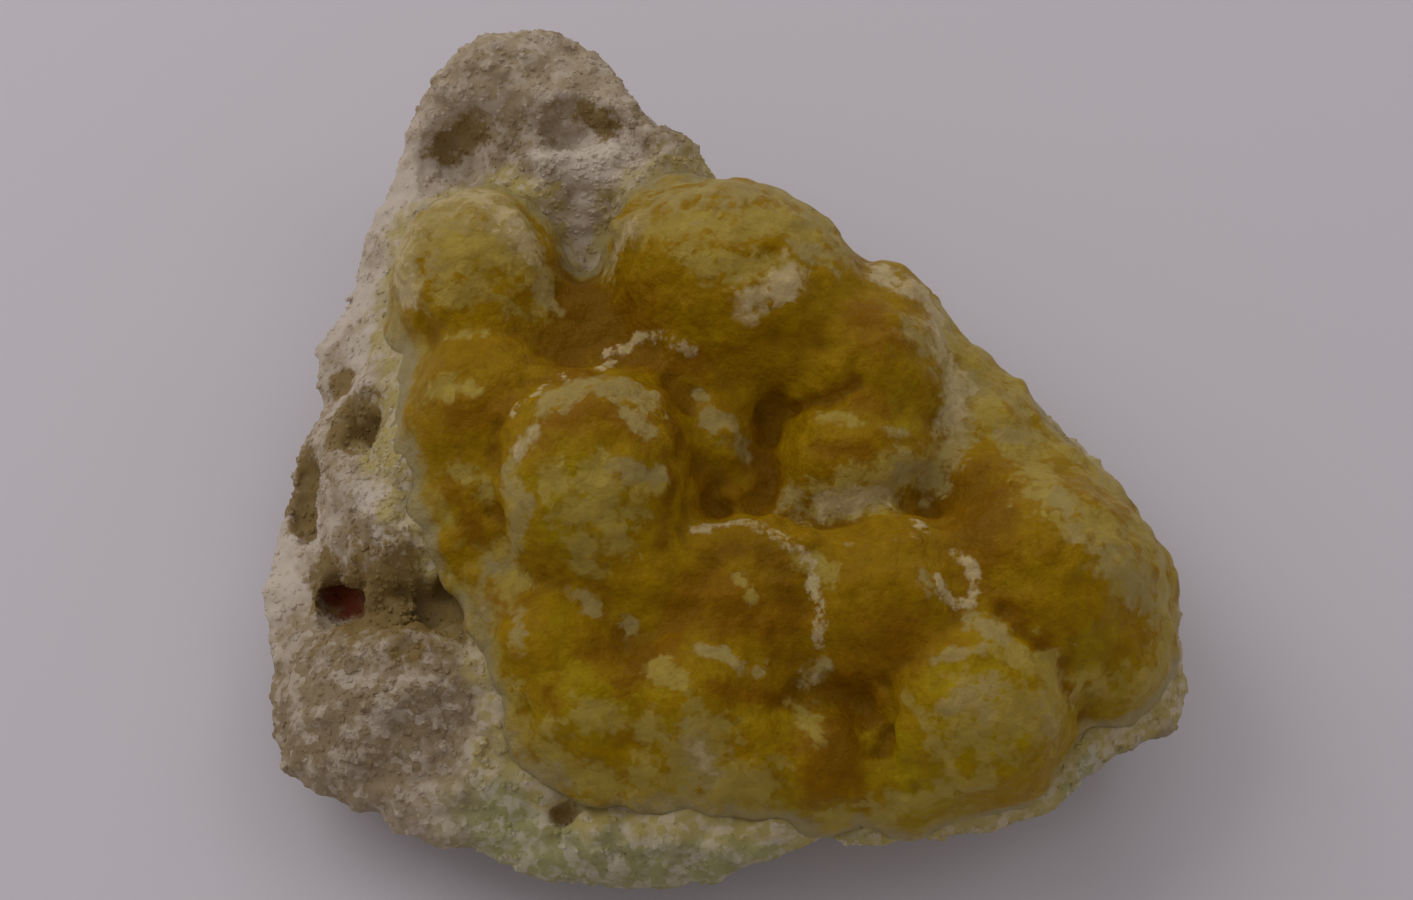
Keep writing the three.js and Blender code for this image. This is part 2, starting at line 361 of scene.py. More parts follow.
def vectorMaths(tree, operation, first, second=(0, 0, 0)):
    made = tree.nodes.new("ShaderNodeVectorMath")
    made.operation = operation
    for socket, value in zip(made.inputs, (first, second)):
        put(tree, value, socket)
    return made.outputs["Value" if operation == "DOT_PRODUCT" else "Vector"]


def scaled(tree, vector, factor):
    made = vectorMaths(tree, "SCALE", vector)
    put(tree, factor, made.node.inputs["Scale"])
    return made


def combined(tree, **parts):
    return node(tree, "ShaderNodeCombineXYZ", **parts).outputs["Vector"]


def named(tree, name):
    # what the mesh holds under that name
    made = node(tree, "GeometryNodeInputNamedAttribute", {"data_type": "FLOAT"}, Name=name)
    return made.outputs["Attribute"]


def ballsOn(tree, spots, rounds, turned, size):
    # a ball on each of the points
    ball = node(tree, "GeometryNodeMeshIcoSphere", Radius=1.0, Subdivisions=rounds).outputs["Mesh"]
    inputs = {"Points": spots, "Instance": ball, "Rotation": turned, "Scale": size}
    return node(tree, "GeometryNodeInstanceOnPoints", **inputs).outputs["Instances"]


def finished(tree, given, result, shape):
    # the tree ends in a real mesh with its material
    real = node(tree, "GeometryNodeRealizeInstances", Geometry=shape).outputs["Geometry"]
    done = node(tree, "GeometryNodeSetMaterial", Geometry=real, Material=given.outputs["Finish"])
    tree.links.new(done.outputs["Geometry"], result.inputs["Geometry"])
    return tree


def inMetres(values, *keys):
    # the values, with the named ones turned from millimetres into metres
    return {key: value * mm if key in keys else value for key, value in values.items()}


def grow(piece, tree, values):
    # runs a tree on a piece with the named values, and makes the result part of its mesh
    modifier = piece.modifiers.new(tree.name, "NODES")
    modifier.node_group = tree
    for item in tree.interface.items_tree:
        if item.item_type == "SOCKET" and item.in_out == "INPUT" and item.name in values:
            modifier[item.identifier] = values[item.name]
    return applied(piece)


number = "NodeSocketFloat"
whole = "NodeSocketInt"
finish = "NodeSocketMaterial"
body = "NodeSocketObject"


def makeBallTree():
    # a ball on each vertex, as big, as long and turned as the vertex says
    tree, given, result = newTree("crystalBalls", [("Rounds", whole, 5), ("Finish", finish, None)])
    radius, longer, turn = (named(tree, name) for name in ("radius", "longer", "turn"))
    size = combined(tree, X=maths(tree, "MULTIPLY", radius, longer), Y=radius, Z=radius)
    turned = combined(tree, Z=turn)
    shape = ballsOn(tree, given.outputs["Geometry"], given.outputs["Rounds"], turned, size)
    return finished(tree, given, result, shape)


reliefForm = {
    "grainSmoothness": 0.25,
    "grainLevel": 0.45,  # how far from a grain's middle its surface meets the mean one
    "swellDetail": 2.0,
    "speckDetail": 1.0,
}


def makeReliefTree():
    # moves a surface in and out: tilted facets, rounded grains and fine specks. The flat break stays flat.
    tree, given, result = newTree(
        "brokenRelief",
        [
            ("Facet Size", number, 3.0),
            ("Facet Tilt", number, 0.2),
            ("Grain Size", number, 1.0),
            ("Grain Depth", number, 0.1),
            ("Swell Size", number, 5.0),
            ("Swell Depth", number, 0.3),
            ("Speck Size", number, 0.5),
            ("Speck Depth", number, 0.05),
            ("Seed", number, 0.0),
            ("Finish", finish, None),
        ],
    )
    inMm = scaled(tree, node(tree, "GeometryNodeInputPosition").outputs["Position"], 1 / mm)
    shift = combined(tree, X=given.outputs["Seed"], Z=given.outputs["Seed"])
    where = vectorMaths(tree, "ADD", inMm, shift)

    def finer(size):
        return maths(tree, "DIVIDE", 1.0, given.outputs[size])

    # facets: each cell is a plane tilted its own way
    facet = node(
        tree,
        "ShaderNodeTexVoronoi",
        {"feature": "F1"},
        Vector=where,
        Scale=finer("Facet Size"),
        Randomness=1.0,
    )
    centre = vectorMaths(tree, "SUBTRACT", where, facet.outputs["Position"])
    lean = vectorMaths(tree, "SUBTRACT", facet.outputs["Color"], (0.5, 0.5, 0.5))
    slope = vectorMaths(tree, "DOT_PRODUCT", lean, centre)
    tilted = maths(tree, "MULTIPLY", slope, given.outputs["Facet Tilt"])

    # grains: rounded lumps with creases between them
    grain = node(
        tree,
        "ShaderNodeTexVoronoi",
        {"feature": "SMOOTH_F1"},
        Vector=where,
        Scale=finer("Grain Size"),
        Smoothness=reliefForm["grainSmoothness"],
        Randomness=1.0,
    )
    lump = maths(tree, "SUBTRACT", reliefForm["grainLevel"], grain.outputs["Distance"])
    lumps = maths(tree, "MULTIPLY", lump, given.outputs["Grain Depth"])

    def swelling(size, depth, detail):
        texture = node(tree, "ShaderNodeTexNoise", Vector=where, Scale=finer(size), Detail=detail)
        centred = maths(tree, "SUBTRACT", texture.outputs[0], 0.5)
        return maths(tree, "MULTIPLY", centred, given.outputs[depth])

    total = maths(tree, "ADD", tilted, lumps)
    total = maths(tree, "ADD", total, swelling("Swell Size", "Swell Depth", reliefForm["swellDetail"]))
    total = maths(tree, "ADD", total, swelling("Speck Size", "Speck Depth", reliefForm["speckDetail"]))
    total = maths(tree, "MULTIPLY", maths(tree, "MULTIPLY", total, named(tree, "relief")), mm)
    push = scaled(tree, node(tree, "GeometryNodeInputNormal").outputs["Normal"], total)
    moved = node(tree, "GeometryNodeSetPosition", Geometry=given.outputs["Geometry"], Offset=push)
    return finished(tree, given, result, moved.outputs["Geometry"])


lumpSides = (0.65, 1.25)  # the shortest and the longest, as shares of a lump's size


def makeScatterTree(name, rounds):
    # small uneven lumps strewn over a surface; its share attribute says where they lie
    tree, given, result = newTree(
        name,
        [
            ("Density", number, 1e6),
            ("Smallest", number, 0.2 * mm),
            ("Largest", number, 0.5 * mm),
            ("Sink", number, 0.0),
            ("Seed", whole, 0),
            ("Finish", finish, None),
        ],
    )
    density = maths(tree, "MULTIPLY", given.outputs["Density"], named(tree, "share"))
    seed = given.outputs["Seed"]
    ground = given.outputs["Geometry"]
    strewn = node(tree, "GeometryNodeDistributePointsOnFaces", Mesh=ground, Density=density, Seed=seed)
    size = node(tree, "FunctionNodeRandomValue", {"data_type": "FLOAT"}, Seed=seed)
    floats = [socket for socket in size.inputs if socket.enabled]
    tree.links.new(given.outputs["Smallest"], floats[0])
    tree.links.new(given.outputs["Largest"], floats[1])
    turn = node(tree, "FunctionNodeRandomValue", {"data_type": "FLOAT_VECTOR"}, Seed=seed)
    turn.inputs[1].default_value = (2 * math.pi,) * 3
    stretch = node(tree, "FunctionNodeRandomValue", {"data_type": "FLOAT_VECTOR"}, Seed=seed)
    for socket, side in zip(stretch.inputs, lumpSides):
        socket.default_value = (side,) * 3
    sized = next(socket for socket in size.outputs if socket.enabled)
    sides = scaled(tree, stretch.outputs[0], sized)
    depth = maths(tree, "MULTIPLY", maths(tree, "MULTIPLY", sized, given.outputs["Sink"]), -1.0)
    inward = scaled(tree, strewn.outputs["Normal"], depth)
    seated = node(tree, "GeometryNodeSetPosition", Geometry=strewn.outputs["Points"], Offset=inward)
    lumps = ballsOn(tree, seated.outputs["Geometry"], rounds, turn.outputs[0], sides)
    return finished(tree, given, result, lumps)


ridgeForm = {
    "bends": 0.9,  # of the line, for each millimetre
    "bendDetail": 2.0,
    "beads": 1.6,  # along it, for each millimetre
    "beadDetail": 1.0,
    "thinnest": 0.2,  # shares of the thickness
    "swelling": 1.6,
    "sides": 8,
}


def makeRimTree():
    # thin uneven ridges along the edges of a mesh
    tree, given, result = newTree(
        "brokenRims",
        [
            ("Thickness", number, 0.3 * mm),
            ("Step", number, 0.3 * mm),
            ("Wander", number, 0.4 * mm),
            ("Surface", body, None),
            ("Finish", finish, None),
        ],
    )
    lines = node(tree, "GeometryNodeMeshToCurve", Mesh=given.outputs["Geometry"])
    steps = node(tree, "GeometryNodeResampleCurve", {"mode": "LENGTH"}, Curve=lines.outputs["Curve"])
    tree.links.new(given.outputs["Step"], steps.inputs["Length"])
    position = node(tree, "GeometryNodeInputPosition").outputs["Position"]

    def noise(pace, detail):
        scale = ridgeForm[pace] / mm
        return node(tree, "ShaderNodeTexNoise", Vector=position, Scale=scale, Detail=ridgeForm[detail])

    astray = vectorMaths(tree, "SUBTRACT", noise("bends", "bendDetail").outputs["Color"], (0.5, 0.5, 0.5))
    astray = scaled(tree, astray, maths(tree, "MULTIPLY", given.outputs["Wander"], 2.0))
    bent = node(tree, "GeometryNodeSetPosition", Geometry=steps.outputs["Curve"], Offset=astray)
    ground = node(tree, "GeometryNodeObjectInfo", Object=given.outputs["Surface"]).outputs["Geometry"]
    nearest = node(tree, "GeometryNodeProximity", Geometry=ground).outputs["Position"]
    bent = node(tree, "GeometryNodeSetPosition", Geometry=bent.outputs["Geometry"], Position=nearest)
    beads = maths(tree, "MULTIPLY", noise("beads", "beadDetail").outputs[0], ridgeForm["swelling"])
    wide = maths(tree, "ADD", ridgeForm["thinnest"], beads)
    thick = node(tree, "GeometryNodeSetCurveRadius", Curve=bent.outputs["Geometry"])
    tree.links.new(wide, thick.inputs["Radius"])
    circle = {"Resolution": ridgeForm["sides"], "Radius": given.outputs["Thickness"]}
    profile = node(tree, "GeometryNodeCurvePrimitiveCircle", **circle)
    inputs = {"Curve": thick.outputs["Curve"], "ProfileCurve": profile.outputs["Curve"], "FillCaps": True}
    ridge = node(tree, "GeometryNodeCurveToMesh", **inputs)
    return finished(tree, given, result, ridge.outputs["Mesh"])


rockShape = {
    "voxel": 0.29,
    "softening": 8,  # rounds of smoothing that take the solid's flat facets off
    "relief": {
        "Facet Size": 2.6,
        "Facet Tilt": 0.14,
        "Grain Size": 1.6,
        "Grain Depth": 0.45,
        "Swell Size": 4.2,
        "Swell Depth": 1.8,
        "Speck Size": 0.6,
        "Speck Depth": 0.18,
        "Seed": 3.0,
    },
    "footFade": 0.6,  # how far above the flat break the relief comes in
}
pits = [
    # name, path, how far it reaches, how deep it is
    ("left pit of the knob", [(474, 128), (448, 142)], 2, 0.15),
    ("pit by the crest", [(618, 212)], 1.4, 0.25),
    ("left pit", [(370, 432)], 1.9, 1.2),
    ("left crevice", [(314, 485), (308, 530)], 1.8, 0.9),
    ("rusty hole", [(338, 592), (352, 602)], 1.7, 1.5),
    ("groove", [(404, 608), (450, 600)], 1.9, 1.4),
    ("under the centre ball", [(476, 576), (486, 590)], 1.2, 0.6),
    ("front hole", [(562, 812)], 1.0, 0.9),
]
holeWaves = [
    # how the sides of a hole waver: along which axes, how far in millimetres, how tightly
    ([1, 2, 0], 0.45, 1.9),
    ([2, 0, 1], 0.25, 4.3),
]
sugarShape = {
    "Density": 7.5e6,  # grains on each square metre
    "Smallest": 0.14,
    "Largest": 0.42,
    "Sink": 0.6,  # how far each goes into the rock, as a share of its size
    "Seed": 7,
}
sugarCover = {
    "clearance": 0.1,  # between the grains' ground and the crust
    "fadeHeight": 2,  # the grains come in over this height above the flat break
    "fadeStart": 0.5,  # of that height that stays bare
    "least": 0.35,  # how thickly they lie away from the marked places
}


def sunken(piece, holes):
    # presses holes with wavering sides into a piece
    co = points(piece)
    out = normals(piece)
    wavy = sum(size * np.sin(co[:, axes] / mm * pace) for axes, size, pace in holeWaves)
    for name, path, reach, depth in seenOn(piece, holes):
        near = nearness(co + wavy * mm * min(1, reach / 2), [(name, path, reach)])
        co -= out * (near * near * (3 - 2 * near) * depth * mm)[:, None]
    putPoints(piece, co)
    return piece


def makeRock(reliefTree):
    rock = copyOfNode("quartz_matrix")
    rock.name = "quartzMatrix"
    remeshed(rock, rockShape["voxel"])
    smoothed(rock, rockShape["softening"])
    sunken(rock, pits)
    height = points(rock)[:, 2] / mm
    attribute(rock, "relief", np.clip(height / rockShape["footFade"], 0, 1))
    grow(rock, reliefTree, rockShape["relief"])
    return shaded(withoutCrumbs(rock))


def makeSugar(rock, crust, sugarTree):
    # loose-grained quartz on the rock where nothing covers it
    ground = newPiece("sugarGround", rock.data.copy())
    height = points(rock)[:, 2] / mm
    bare = depthInside(rock, crust) < -sugarCover["clearance"] * mm
    least = sugarCover["least"]
    thick = least + (1 - least) * nearness(points(rock), seenOn(rock, sugarMarks))
    raised = np.clip(height / sugarCover["fadeHeight"] - sugarCover["fadeStart"], 0, 1)
    attribute(ground, "share", bare * raised * thick)
    sugar = grow(ground, sugarTree, inMetres(sugarShape, "Smallest", "Largest"))
    sugar.name = "quartzSugar"
    return shaded(sugar, False)


balls = [
    # name, centre, radius, how much longer it is, which way it is longer, how brown it is
    ("crest", (0.7, 9.2, 14), 7.6, 1.2, -30, 0.45),
    ("upperLeft", (-16.6, 10.4, 13.6), 5.7, 1.1, 90, 0.3),
    ("leftShoulder", (-15.6, 1.2, 12.4), 5.8, 1, 0, 0.6),
    ("leftSkirt", (-16.2, -4.6, 11), 4, 1, 0, 0.5),
    ("centre", (-8.4, -4.6, 14.2), 6.8, 1.12, 90, 0.45),
    ("centreLobe", (-4.8, -10.8, 13.2), 4.2, 1, 0, 0.5),
    ("behindCentre", (-4.6, 3.2, 12.8), 3.7, 1, 0, 0.9),
    ("finger", (-0.8, -0.2, 13.6), 2.6, 1.6, 80, 0.8),
    ("rightOfCrest", (9, 3.4, 13.4), 5.9, 1, 0, 0.6),
    ("rightInner", (8.2, -2.6, 12.8), 5.3, 1, 0, 0.7),
    ("south", (10.2, -13, 13), 6, 1, 0, 0.85),
    ("lowerRight", (15.4, -19.6, 12.2), 6.2, 1, 0, 0.15),
    ("east", (20, -11, 11.6), 7.8, 1, 0, 0.5),
    ("eastTip", (23.6, -14.2, 10.4), 4.9, 1, 0, 0.4),
    ("eastUpper", (16.6, -5, 12.6), 3.4, 1, 0, 0.75),
    ("paleBack", (11.2, 6.9, 11.5), 4, 1, 0, 0.2),
    ("paleMiddle", (14.2, 3.4, 11.2), 3.9, 1, 0, 0.2),
    ("paleRight", (17, -0.6, 10.8), 4.4, 1, 0, 0.2),
    ("paleFar", (20, -3.6, 10.8), 4, 1, 0, 0.2),
    ("paleEdge", (22.4, -6.6, 10.6), 4.5, 1, 0, 0.2),
    ("paleTip", (25, -10.4, 10), 3.9, 1, 0, 0.2),
    ("southWest", (-10.6, -14.6, 11.4), 4.1, 1, 0, 0.35),
    ("lowWest", (-8.6, -18.6, 9.8), 4.8, 1, 0, 0.3),
    ("lowCentre", (-2, -18.2, 10.8), 5.4, 1, 0, 0.35),
    ("lowBead", (1, -21.6, 10.4), 3.9, 1, 0, 0.4),
    ("lowEdge", (6, -22.2, 9.8), 4, 1, 0, 0.5),
    ("lowRightEdge", (11, -22.8, 9.8), 3.6, 1, 0, 0.3),
    ("westBead", (-14.2, -12, 11.2), 2, 1, 0, 0.7),
    ("rimTop", (10.2, 7.6, 14), 3.6, 1, 0, 0.2),
    ("southWestBead", (-8.2, -21.8, 9.6), 2.2, 1, 0, 0.3),
    ("lowLeftBead", (-4.6, -22.2, 9.8), 2.7, 1, 0, 0.3),
    ("valley", (-9.8, 7.8, 11.8), 3.4, 1, 0, 1),
    ("ringedCore", (1.6, -12.6, 13), 4.7, 1, 0, 0.75),
]
ringedShell = [("ringedShell", (1.6, -12.4, 13), 5.5, 1, 0, 0)]
ringOpening = [("ringOpening", (0.6, -14.2, 18.2), 5.6, 1, 0, 0)]

rims = [
    # broken edges of thin shells: name, the points of the view that it runs through, how white it is
    ("behind the centre ball", [(602, 368), (612, 353), (630, 350), (638, 340), (655, 336)], 1.0),
    ("its end", [(655, 336), (668, 338), (682, 346), (694, 350)], 0.7),
    ("edge of the centre ball", [(512, 412), (524, 400), (540, 392), (552, 380), (566, 377)], 0.6),
    ("ring", [(694, 528), (740, 522), (770, 530), (798, 548), (812, 568)], 0.75),
    ("right of the ring", [(812, 568), (816, 590), (822, 612), (820, 645)], 0.95),
    ("south ball", [(836, 548), (860, 544), (896, 544), (914, 534)], 0.25),
    ("south ball's end", [(914, 520), (926, 532)], 0.7),
    ("hook", [(956, 556), (968, 562), (974, 585), (972, 602), (958, 606), (944, 592), (936, 576)], 0.85),
    ("inside of the ring", [(702, 646), (722, 652), (740, 668)], 0.35),
    ("foot of the ring", [(806, 690), (812, 676), (826, 664)], 0.5),
]
rimShape = {"Thickness": 0.15, "Step": 0.22, "Wander": 0.6}

openMarks = [
    # creases that stay open
    ("gap", [(764, 452)], 3.4),
    ("foot of the gap", [(734, 498)], 3.2),
    ("top of the gap", [(776, 412)], 2.6),
    ("left of the finger", [(678, 412)], 2.2),
]

lipMarks = [
    # where the rock's front edge stays bare
    ("front lip, left", [(-6, -26, 8), (4, -27, 9), (12, -27, 9)], 4.5),
    ("front lip, right", [(12, -27, 9), (18, -25, 9), (24, -21.6, 8.6), (27, -18, 8.6)], 4.5),
]
dips = [
    # creases and hollows of the crust: name, path, how far it reaches, how deep it is
    ("inside the ring", [(1.4, -12.6, 17), (2, -15, 16.8)], 4.4, 0.8),
    ("gap", [(764, 420), (765, 492)], 1.3, 0.6),
    ("foot of the gap", [(765, 492), (722, 506)], 1.8, 0.25),
    ("left of the finger", [(-3.9, 1.2, 16), (-2.6, -2.6, 15.6), (-2.2, -5, 16)], 1.3, 0.35),
    ("crest and its right ball", [(796, 410), (830, 396), (858, 384)], 0.9, 0.45),
    (
        "left of the centre ball",
        [(-11.2, 0.8, 17), (-14.4, -2, 17), (-15.2, -6, 15.6), (-14.6, -10.6, 13.6)],
        1.3,
        0.5,
    ),
    ("right of the centre ball", [(-3, -5.6, 17), (-2.8, -9, 16.6), (-4.6, -12.6, 15.8)], 1.1, 0.6),
    ("foot of the right inner ball", [(3.4, -7.6, 15.4), (8, -8.4, 16), (12.6, -6.4, 15.2)], 1.2, 0.4),
    ("left of the lower right ball", [(10.4, -18.6, 16), (9.6, -22.4, 13.6), (10.6, -25, 12)], 1.6, 0.6),
    ("right of the lower right ball", [(1005, 605), (1040, 645), (1066, 690)], 1.1, 0.5),
]
meltShape = {
    "voxel": 0.5,
    "apron": 0.9,  # how far beyond the balls it may run out on the rock
    "filling": 3,  # how often the creases are filled up a little
    "steps": 10,  # in each filling
    "openness": 2.5,  # how sharply the marked creases are kept out of it
    "lipWidth": 2,  # how much wider than its mark the bare lip is at full strength
    "lipShare": 0.2,  # of the apron that is taken off there
}
crustShape = {
    "voxel": 0.25,
    "bedShrink": 0.4,  # how far the solid's own facets are drawn in under the balls
    "rooting": 1.3,  # how far the crust's underside goes into the rock
    "softening": 6,
    "rimReach": 0.5,
    "fraying": 1.3,  # how much wider the colour marks are made, to fray out at their edges
    "unseen": 0.7,  # how deep in the rock the crust's faces are made fewer
    "leftOut": 0.9,  # the share of those faces that is left out
    "clear": 1.04,  # where the layer counts as clear of a ball, in radii of that ball
    "clearFade": 0.1,
    "ballRounds": 5,  # of splitting the faces of a ball
    "shellRounds": 6,
    "relief": {
        "Facet Size": 2.6,
        "Facet Tilt": 0.13,
        "Grain Size": 1.7,
        "Grain Depth": 0.34,
        "Swell Size": 5.0,
        "Swell Depth": 1.5,
        "Speck Size": 0.7,
        "Speck Depth": 0.16,
        "Seed": 11.0,
    },
}
fillShape = {
    # small balls on the layer between the big ones
    "Density": 0.5e6,
    "Smallest": 0.6,
    "Largest": 1.3,
    "Seed": 4,
}


def ballPiece(name, rows, tree, rounds):
    mesh = bpy.data.meshes.new(name)
    mesh.from_pydata([place(*row[1]) for row in rows], [], [])
    piece = newPiece(name, mesh)
    attribute(piece, "radius", [row[2] * mm for row in rows])
    attribute(piece, "longer", [row[3] for row in rows])
    attribute(piece, "turn", [math.radians(row[4]) for row in rows])
    return grow(piece, tree, {"Rounds": rounds})


def joined(first, *others):
    build = bmesh.new()
    for piece in (first, *others):
        build.from_mesh(piece.data)
    build.to_mesh(first.data)
    build.free()
    for piece in others:
        bpy.data.objects.remove(piece)
    return first


def cutBy(piece, cutter, operation="DIFFERENCE"):
    cut = piece.modifiers.new("cut", "BOOLEAN")
    cut.operation = operation
    cut.solver = "EXACT"
    cut.object = cutter
    applied(piece)
    bpy.data.objects.remove(cutter)
    return piece


def grown(piece, distance):
    putPoints(piece, points(piece) + normals(piece) * distance * mm)
    piece.data.update()
    return piece


def melted(crust):
    # rock and crust as one with their creases filled, kept only near the crust: it runs out on the rock
    # in a thin edge instead of standing on it
    coarse = meltShape["voxel"]
    region = remeshed(newPiece("region", crust.data.copy()), coarse)
    onLip = np.clip(meltShape["lipWidth"] * nearness(points(region), seenOn(region, lipMarks)), 0, 1)
    grown(region, meltShape["apron"] * (1 - meltShape["lipShare"] * onLip)[:, None])
    remeshed(region, coarse)
    whole = joined(copyOfNode("quartz_matrix"), newPiece("crustCopy", crust.data.copy()))
    remeshed(whole, coarse)
    closed = 1 - np.clip(meltShape["openness"] * nearness(points(whole), seenOn(whole, openMarks)), 0, 1)
    filled(whole, meltShape["filling"], closed)
    return joined(crust, cutBy(whole, region, "INTERSECT"))


def ballDistances(co):
    # for each ball, how far out each place lies, as a share of the ball's radius
    return np.array([np.linalg.norm(co - np.array(place(*row[1])), axis=1) / (row[2] * mm) for row in balls])


def betweenBalls(co):
    # 1 where the surface is clear of every ball, 0 on them
    return np.clip((ballDistances(co).min(axis=0) - crustShape["clear"]) / crustShape["clearFade"], 0, 1)


def makeBed(fillTree):
    # the layer between the balls: the solid drawn in a little, and once more lower down as its root
    bed = copyOfNode("fluorite_crust")
    co = points(bed) - normals(bed) * crustShape["bedShrink"] * mm
    putPoints(bed, co)
    root = newPiece("root", bed.data.copy())
    root.data.transform(Matrix.Translation((0, 0, -crustShape["rooting"] * mm)))
    lumps = newPiece("lumps", bed.data.copy())
    attribute(lumps, "share", betweenBalls(co))
    grow(lumps, fillTree, inMetres(fillShape, "Smallest", "Largest"))
    return joined(bed, root, lumps)


def rimPaths(crust):
    # the rims as lines, each from place to place
    corners, sides, whites = [], [], []
    for _, places, white in seenOn(crust, rims):
        sides += [(len(corners) + i, len(corners) + i + 1) for i in range(len(places) - 1)]
        corners += places
        whites += [white] * len(places)
    mesh = bpy.data.meshes.new("rimPaths")
    mesh.from_pydata(corners, sides, [])
    lines = newPiece("rimPaths", mesh)
    attribute(lines, "white", whites)
    return lines


def makeCrust(ballTree, fillTree, rimTree, reliefTree):
    shell = ballPiece("shell", ringedShell, ballTree, crustShape["shellRounds"])
    cutBy(shell, ballPiece("opening", ringOpening, ballTree, crustShape["shellRounds"]))
    crust = joined(makeBed(fillTree), ballPiece("balls", balls, ballTree, crustShape["ballRounds"]), shell)
    crust.name = "fluoriteCrust"
    melted(crust)
    remeshed(crust, crustShape["voxel"])
    smoothed(crust, crustShape["softening"])
    sunken(crust, dips)
    attribute(crust, "relief", np.ones(len(crust.data.vertices)))
    grow(crust, reliefTree, crustShape["relief"])
    edges = grow(rimPaths(crust), rimTree, {**inMetres(rimShape, *rimShape), "Surface": crust})
    whites = [spot.value for spot in edges.data.attributes["white"].data]
    away = KDTree(len(whites))
    for i, vertex in enumerate(edges.data.vertices):
        away.insert(vertex.co, i)
    away.balance()
    joined(crust, edges)
    remeshed(crust, crustShape["voxel"])
    found = [away.find(vertex.co)[1:] for vertex in crust.data.vertices]
    reach = crustShape["rimReach"] * mm
    attribute(crust, "rim", [whites[i] * max(0, 1 - distance / reach) for i, distance in found])
    return shaded(crust)


ballTree = makeBallTree()
fillTree = makeScatterTree("smallBalls", 2)
sugarTree = makeScatterTree("quartzSugar", 1)
rimTree = makeRimTree()
reliefTree = makeReliefTree()
rock = makeRock(reliefTree)
print("rock:", len(rock.data.polygons), "faces")
crust = makeCrust(ballTree, fillTree, rimTree, reliefTree)
unseen = depthInside(crust, rock) > crustShape["unseen"] * mm
lightened(crust, unseen, 1 - crustShape["leftOut"] * unseen.mean())
print("crust:", len(crust.data.polygons), "faces")


# name, path, how far it reaches in millimetres; it shows to about half of that
# milky white patches; the glint on the crest is a painted highlight, and the cap of the upper left ball with
# its sides is painted light
milkAndGlintMarks = [
    ("cap of the upper left ball", [(398, 246), (430, 206), (470, 196)], 3.4),
    ("right of that cap", [(505, 215), (525, 240)], 1.8),
    ("left side of it", [(400, 270), (408, 292)], 1.8),
    ("top of the right rim", [(885, 272), (915, 290), (935, 312)], 1.8),
    # painted highlight
    ("glint on the crest", [(752, 300), (778, 292), (790, 272)], 1.6),
    ("right inner patch", [(826, 508), (850, 501), (880, 495)], 1.1),
    ("left end of the crest", [(616, 252), (632, 226)], 1.2),
    ("left end of the centre ball's cap", [(520, 448), (531, 434)], 0.8),
    ("low centre ball", [(696, 748), (706, 766)], 0.9),
    ("right rim", [(935, 330), (950, 362), (958, 395), (955, 425)], 1.6),
]
# pale frosted patches; the veil on the crest is a painted reflection
frostAndSheenMarks = [
    ("cap of the upper left ball", [(400, 262), (440, 212), (480, 196), (512, 215)], 3.6),
    ("right side of it", [(520, 230), (540, 262), (545, 302)], 1.4),
    ("left side of it", [(398, 285), (395, 335)], 2),
    ("back of the upper left ball", [(-21, 14.5, 15), (-16.5, 16.2, 15.5), (-12.5, 13.5, 14.5)], 2.4),
    ("back of the crest", [(-5, 14.5, 17), (0.7, 16.6, 17), (6.5, 12.6, 17)], 3.2),
    ("left end of the crest", [(614, 252), (632, 222), (655, 203)], 2.2),
    ("cap of the crest", [(660, 200), (720, 190), (790, 196), (832, 235)], 3),
    # painted reflection
    ("veil on the crest", [(800, 246), (835, 258), (848, 250)], 1.4),
    ("right rim", [(915, 335), (936, 352), (957, 388), (957, 425), (947, 456), (930, 478)], 1.8),
    ("foot of the right rim", [(935, 468), (900, 472)], 1.9),
    ("back edge", [(975, 380), (1010, 397)], 1.8),
    ("back edge, middle", [(1000, 432), (1035, 438)], 0.9),
    ("back edge, low", [(1095, 467), (1112, 484)], 1.5),
    ("east, upper mottle", [(1058, 498), (1076, 530)], 1.4),
    ("east mottle", [(1105, 560), (1142, 580), (1150, 602)], 1.9),
    ("cap of the centre ball", [(548, 400), (575, 388), (620, 386), (642, 400)], 1.9),
    ("right end of that cap", [(626, 412), (642, 430)], 1.2),
    ("left end of that cap", [(520, 448), (532, 432)], 1.2),
    ("left edge of the centre ball", [(504, 476), (522, 500), (514, 532), (508, 558)], 1.1),
    ("foot of the centre ball", [(578, 594), (592, 605)], 0.9),
    ("west fleck", [(516, 618), (518, 642)], 0.9),
    ("upper fleck of the centre ball", [(618, 470), (656, 477)], 0.9),
    ("upper finger", [(698, 392), (708, 397)], 0.6),
    ("lower finger", [(716, 420), (738, 444)], 1.4),
    ("right inner patch", [(818, 506), (850, 500), (884, 494)], 1.5),
    ("left of that patch", [(801, 502)], 1.7),
    ("right inner fleck", [(886, 428), (906, 433)], 0.8),
    ("grains beside the hook", [(925, 580), (940, 590)], 1),
    ("top of the lower right ball", [(978, 620), (1002, 640)], 1.2),
    ("across the lower right ball", [(940, 656), (980, 652)], 0.7),
    ("below that", [(962, 694), (992, 686)], 1.1),
    ("left of that", [(948, 706), (978, 700), (986, 724)], 0.9),
    ("inside the ring", [(700, 648), (722, 652), (742, 668)], 0.6),
    ("right of that", [(762, 670)], 0.9),
    ("right of the ring", [(806, 682), (826, 664)], 0.9),
    ("low fleck", [(630, 626)], 1),
    ("low centre ball", [(694, 742), (706, 768)], 2),
    ("right of the lower right ball", [(1040, 706), (1050, 724)], 1.1),
]
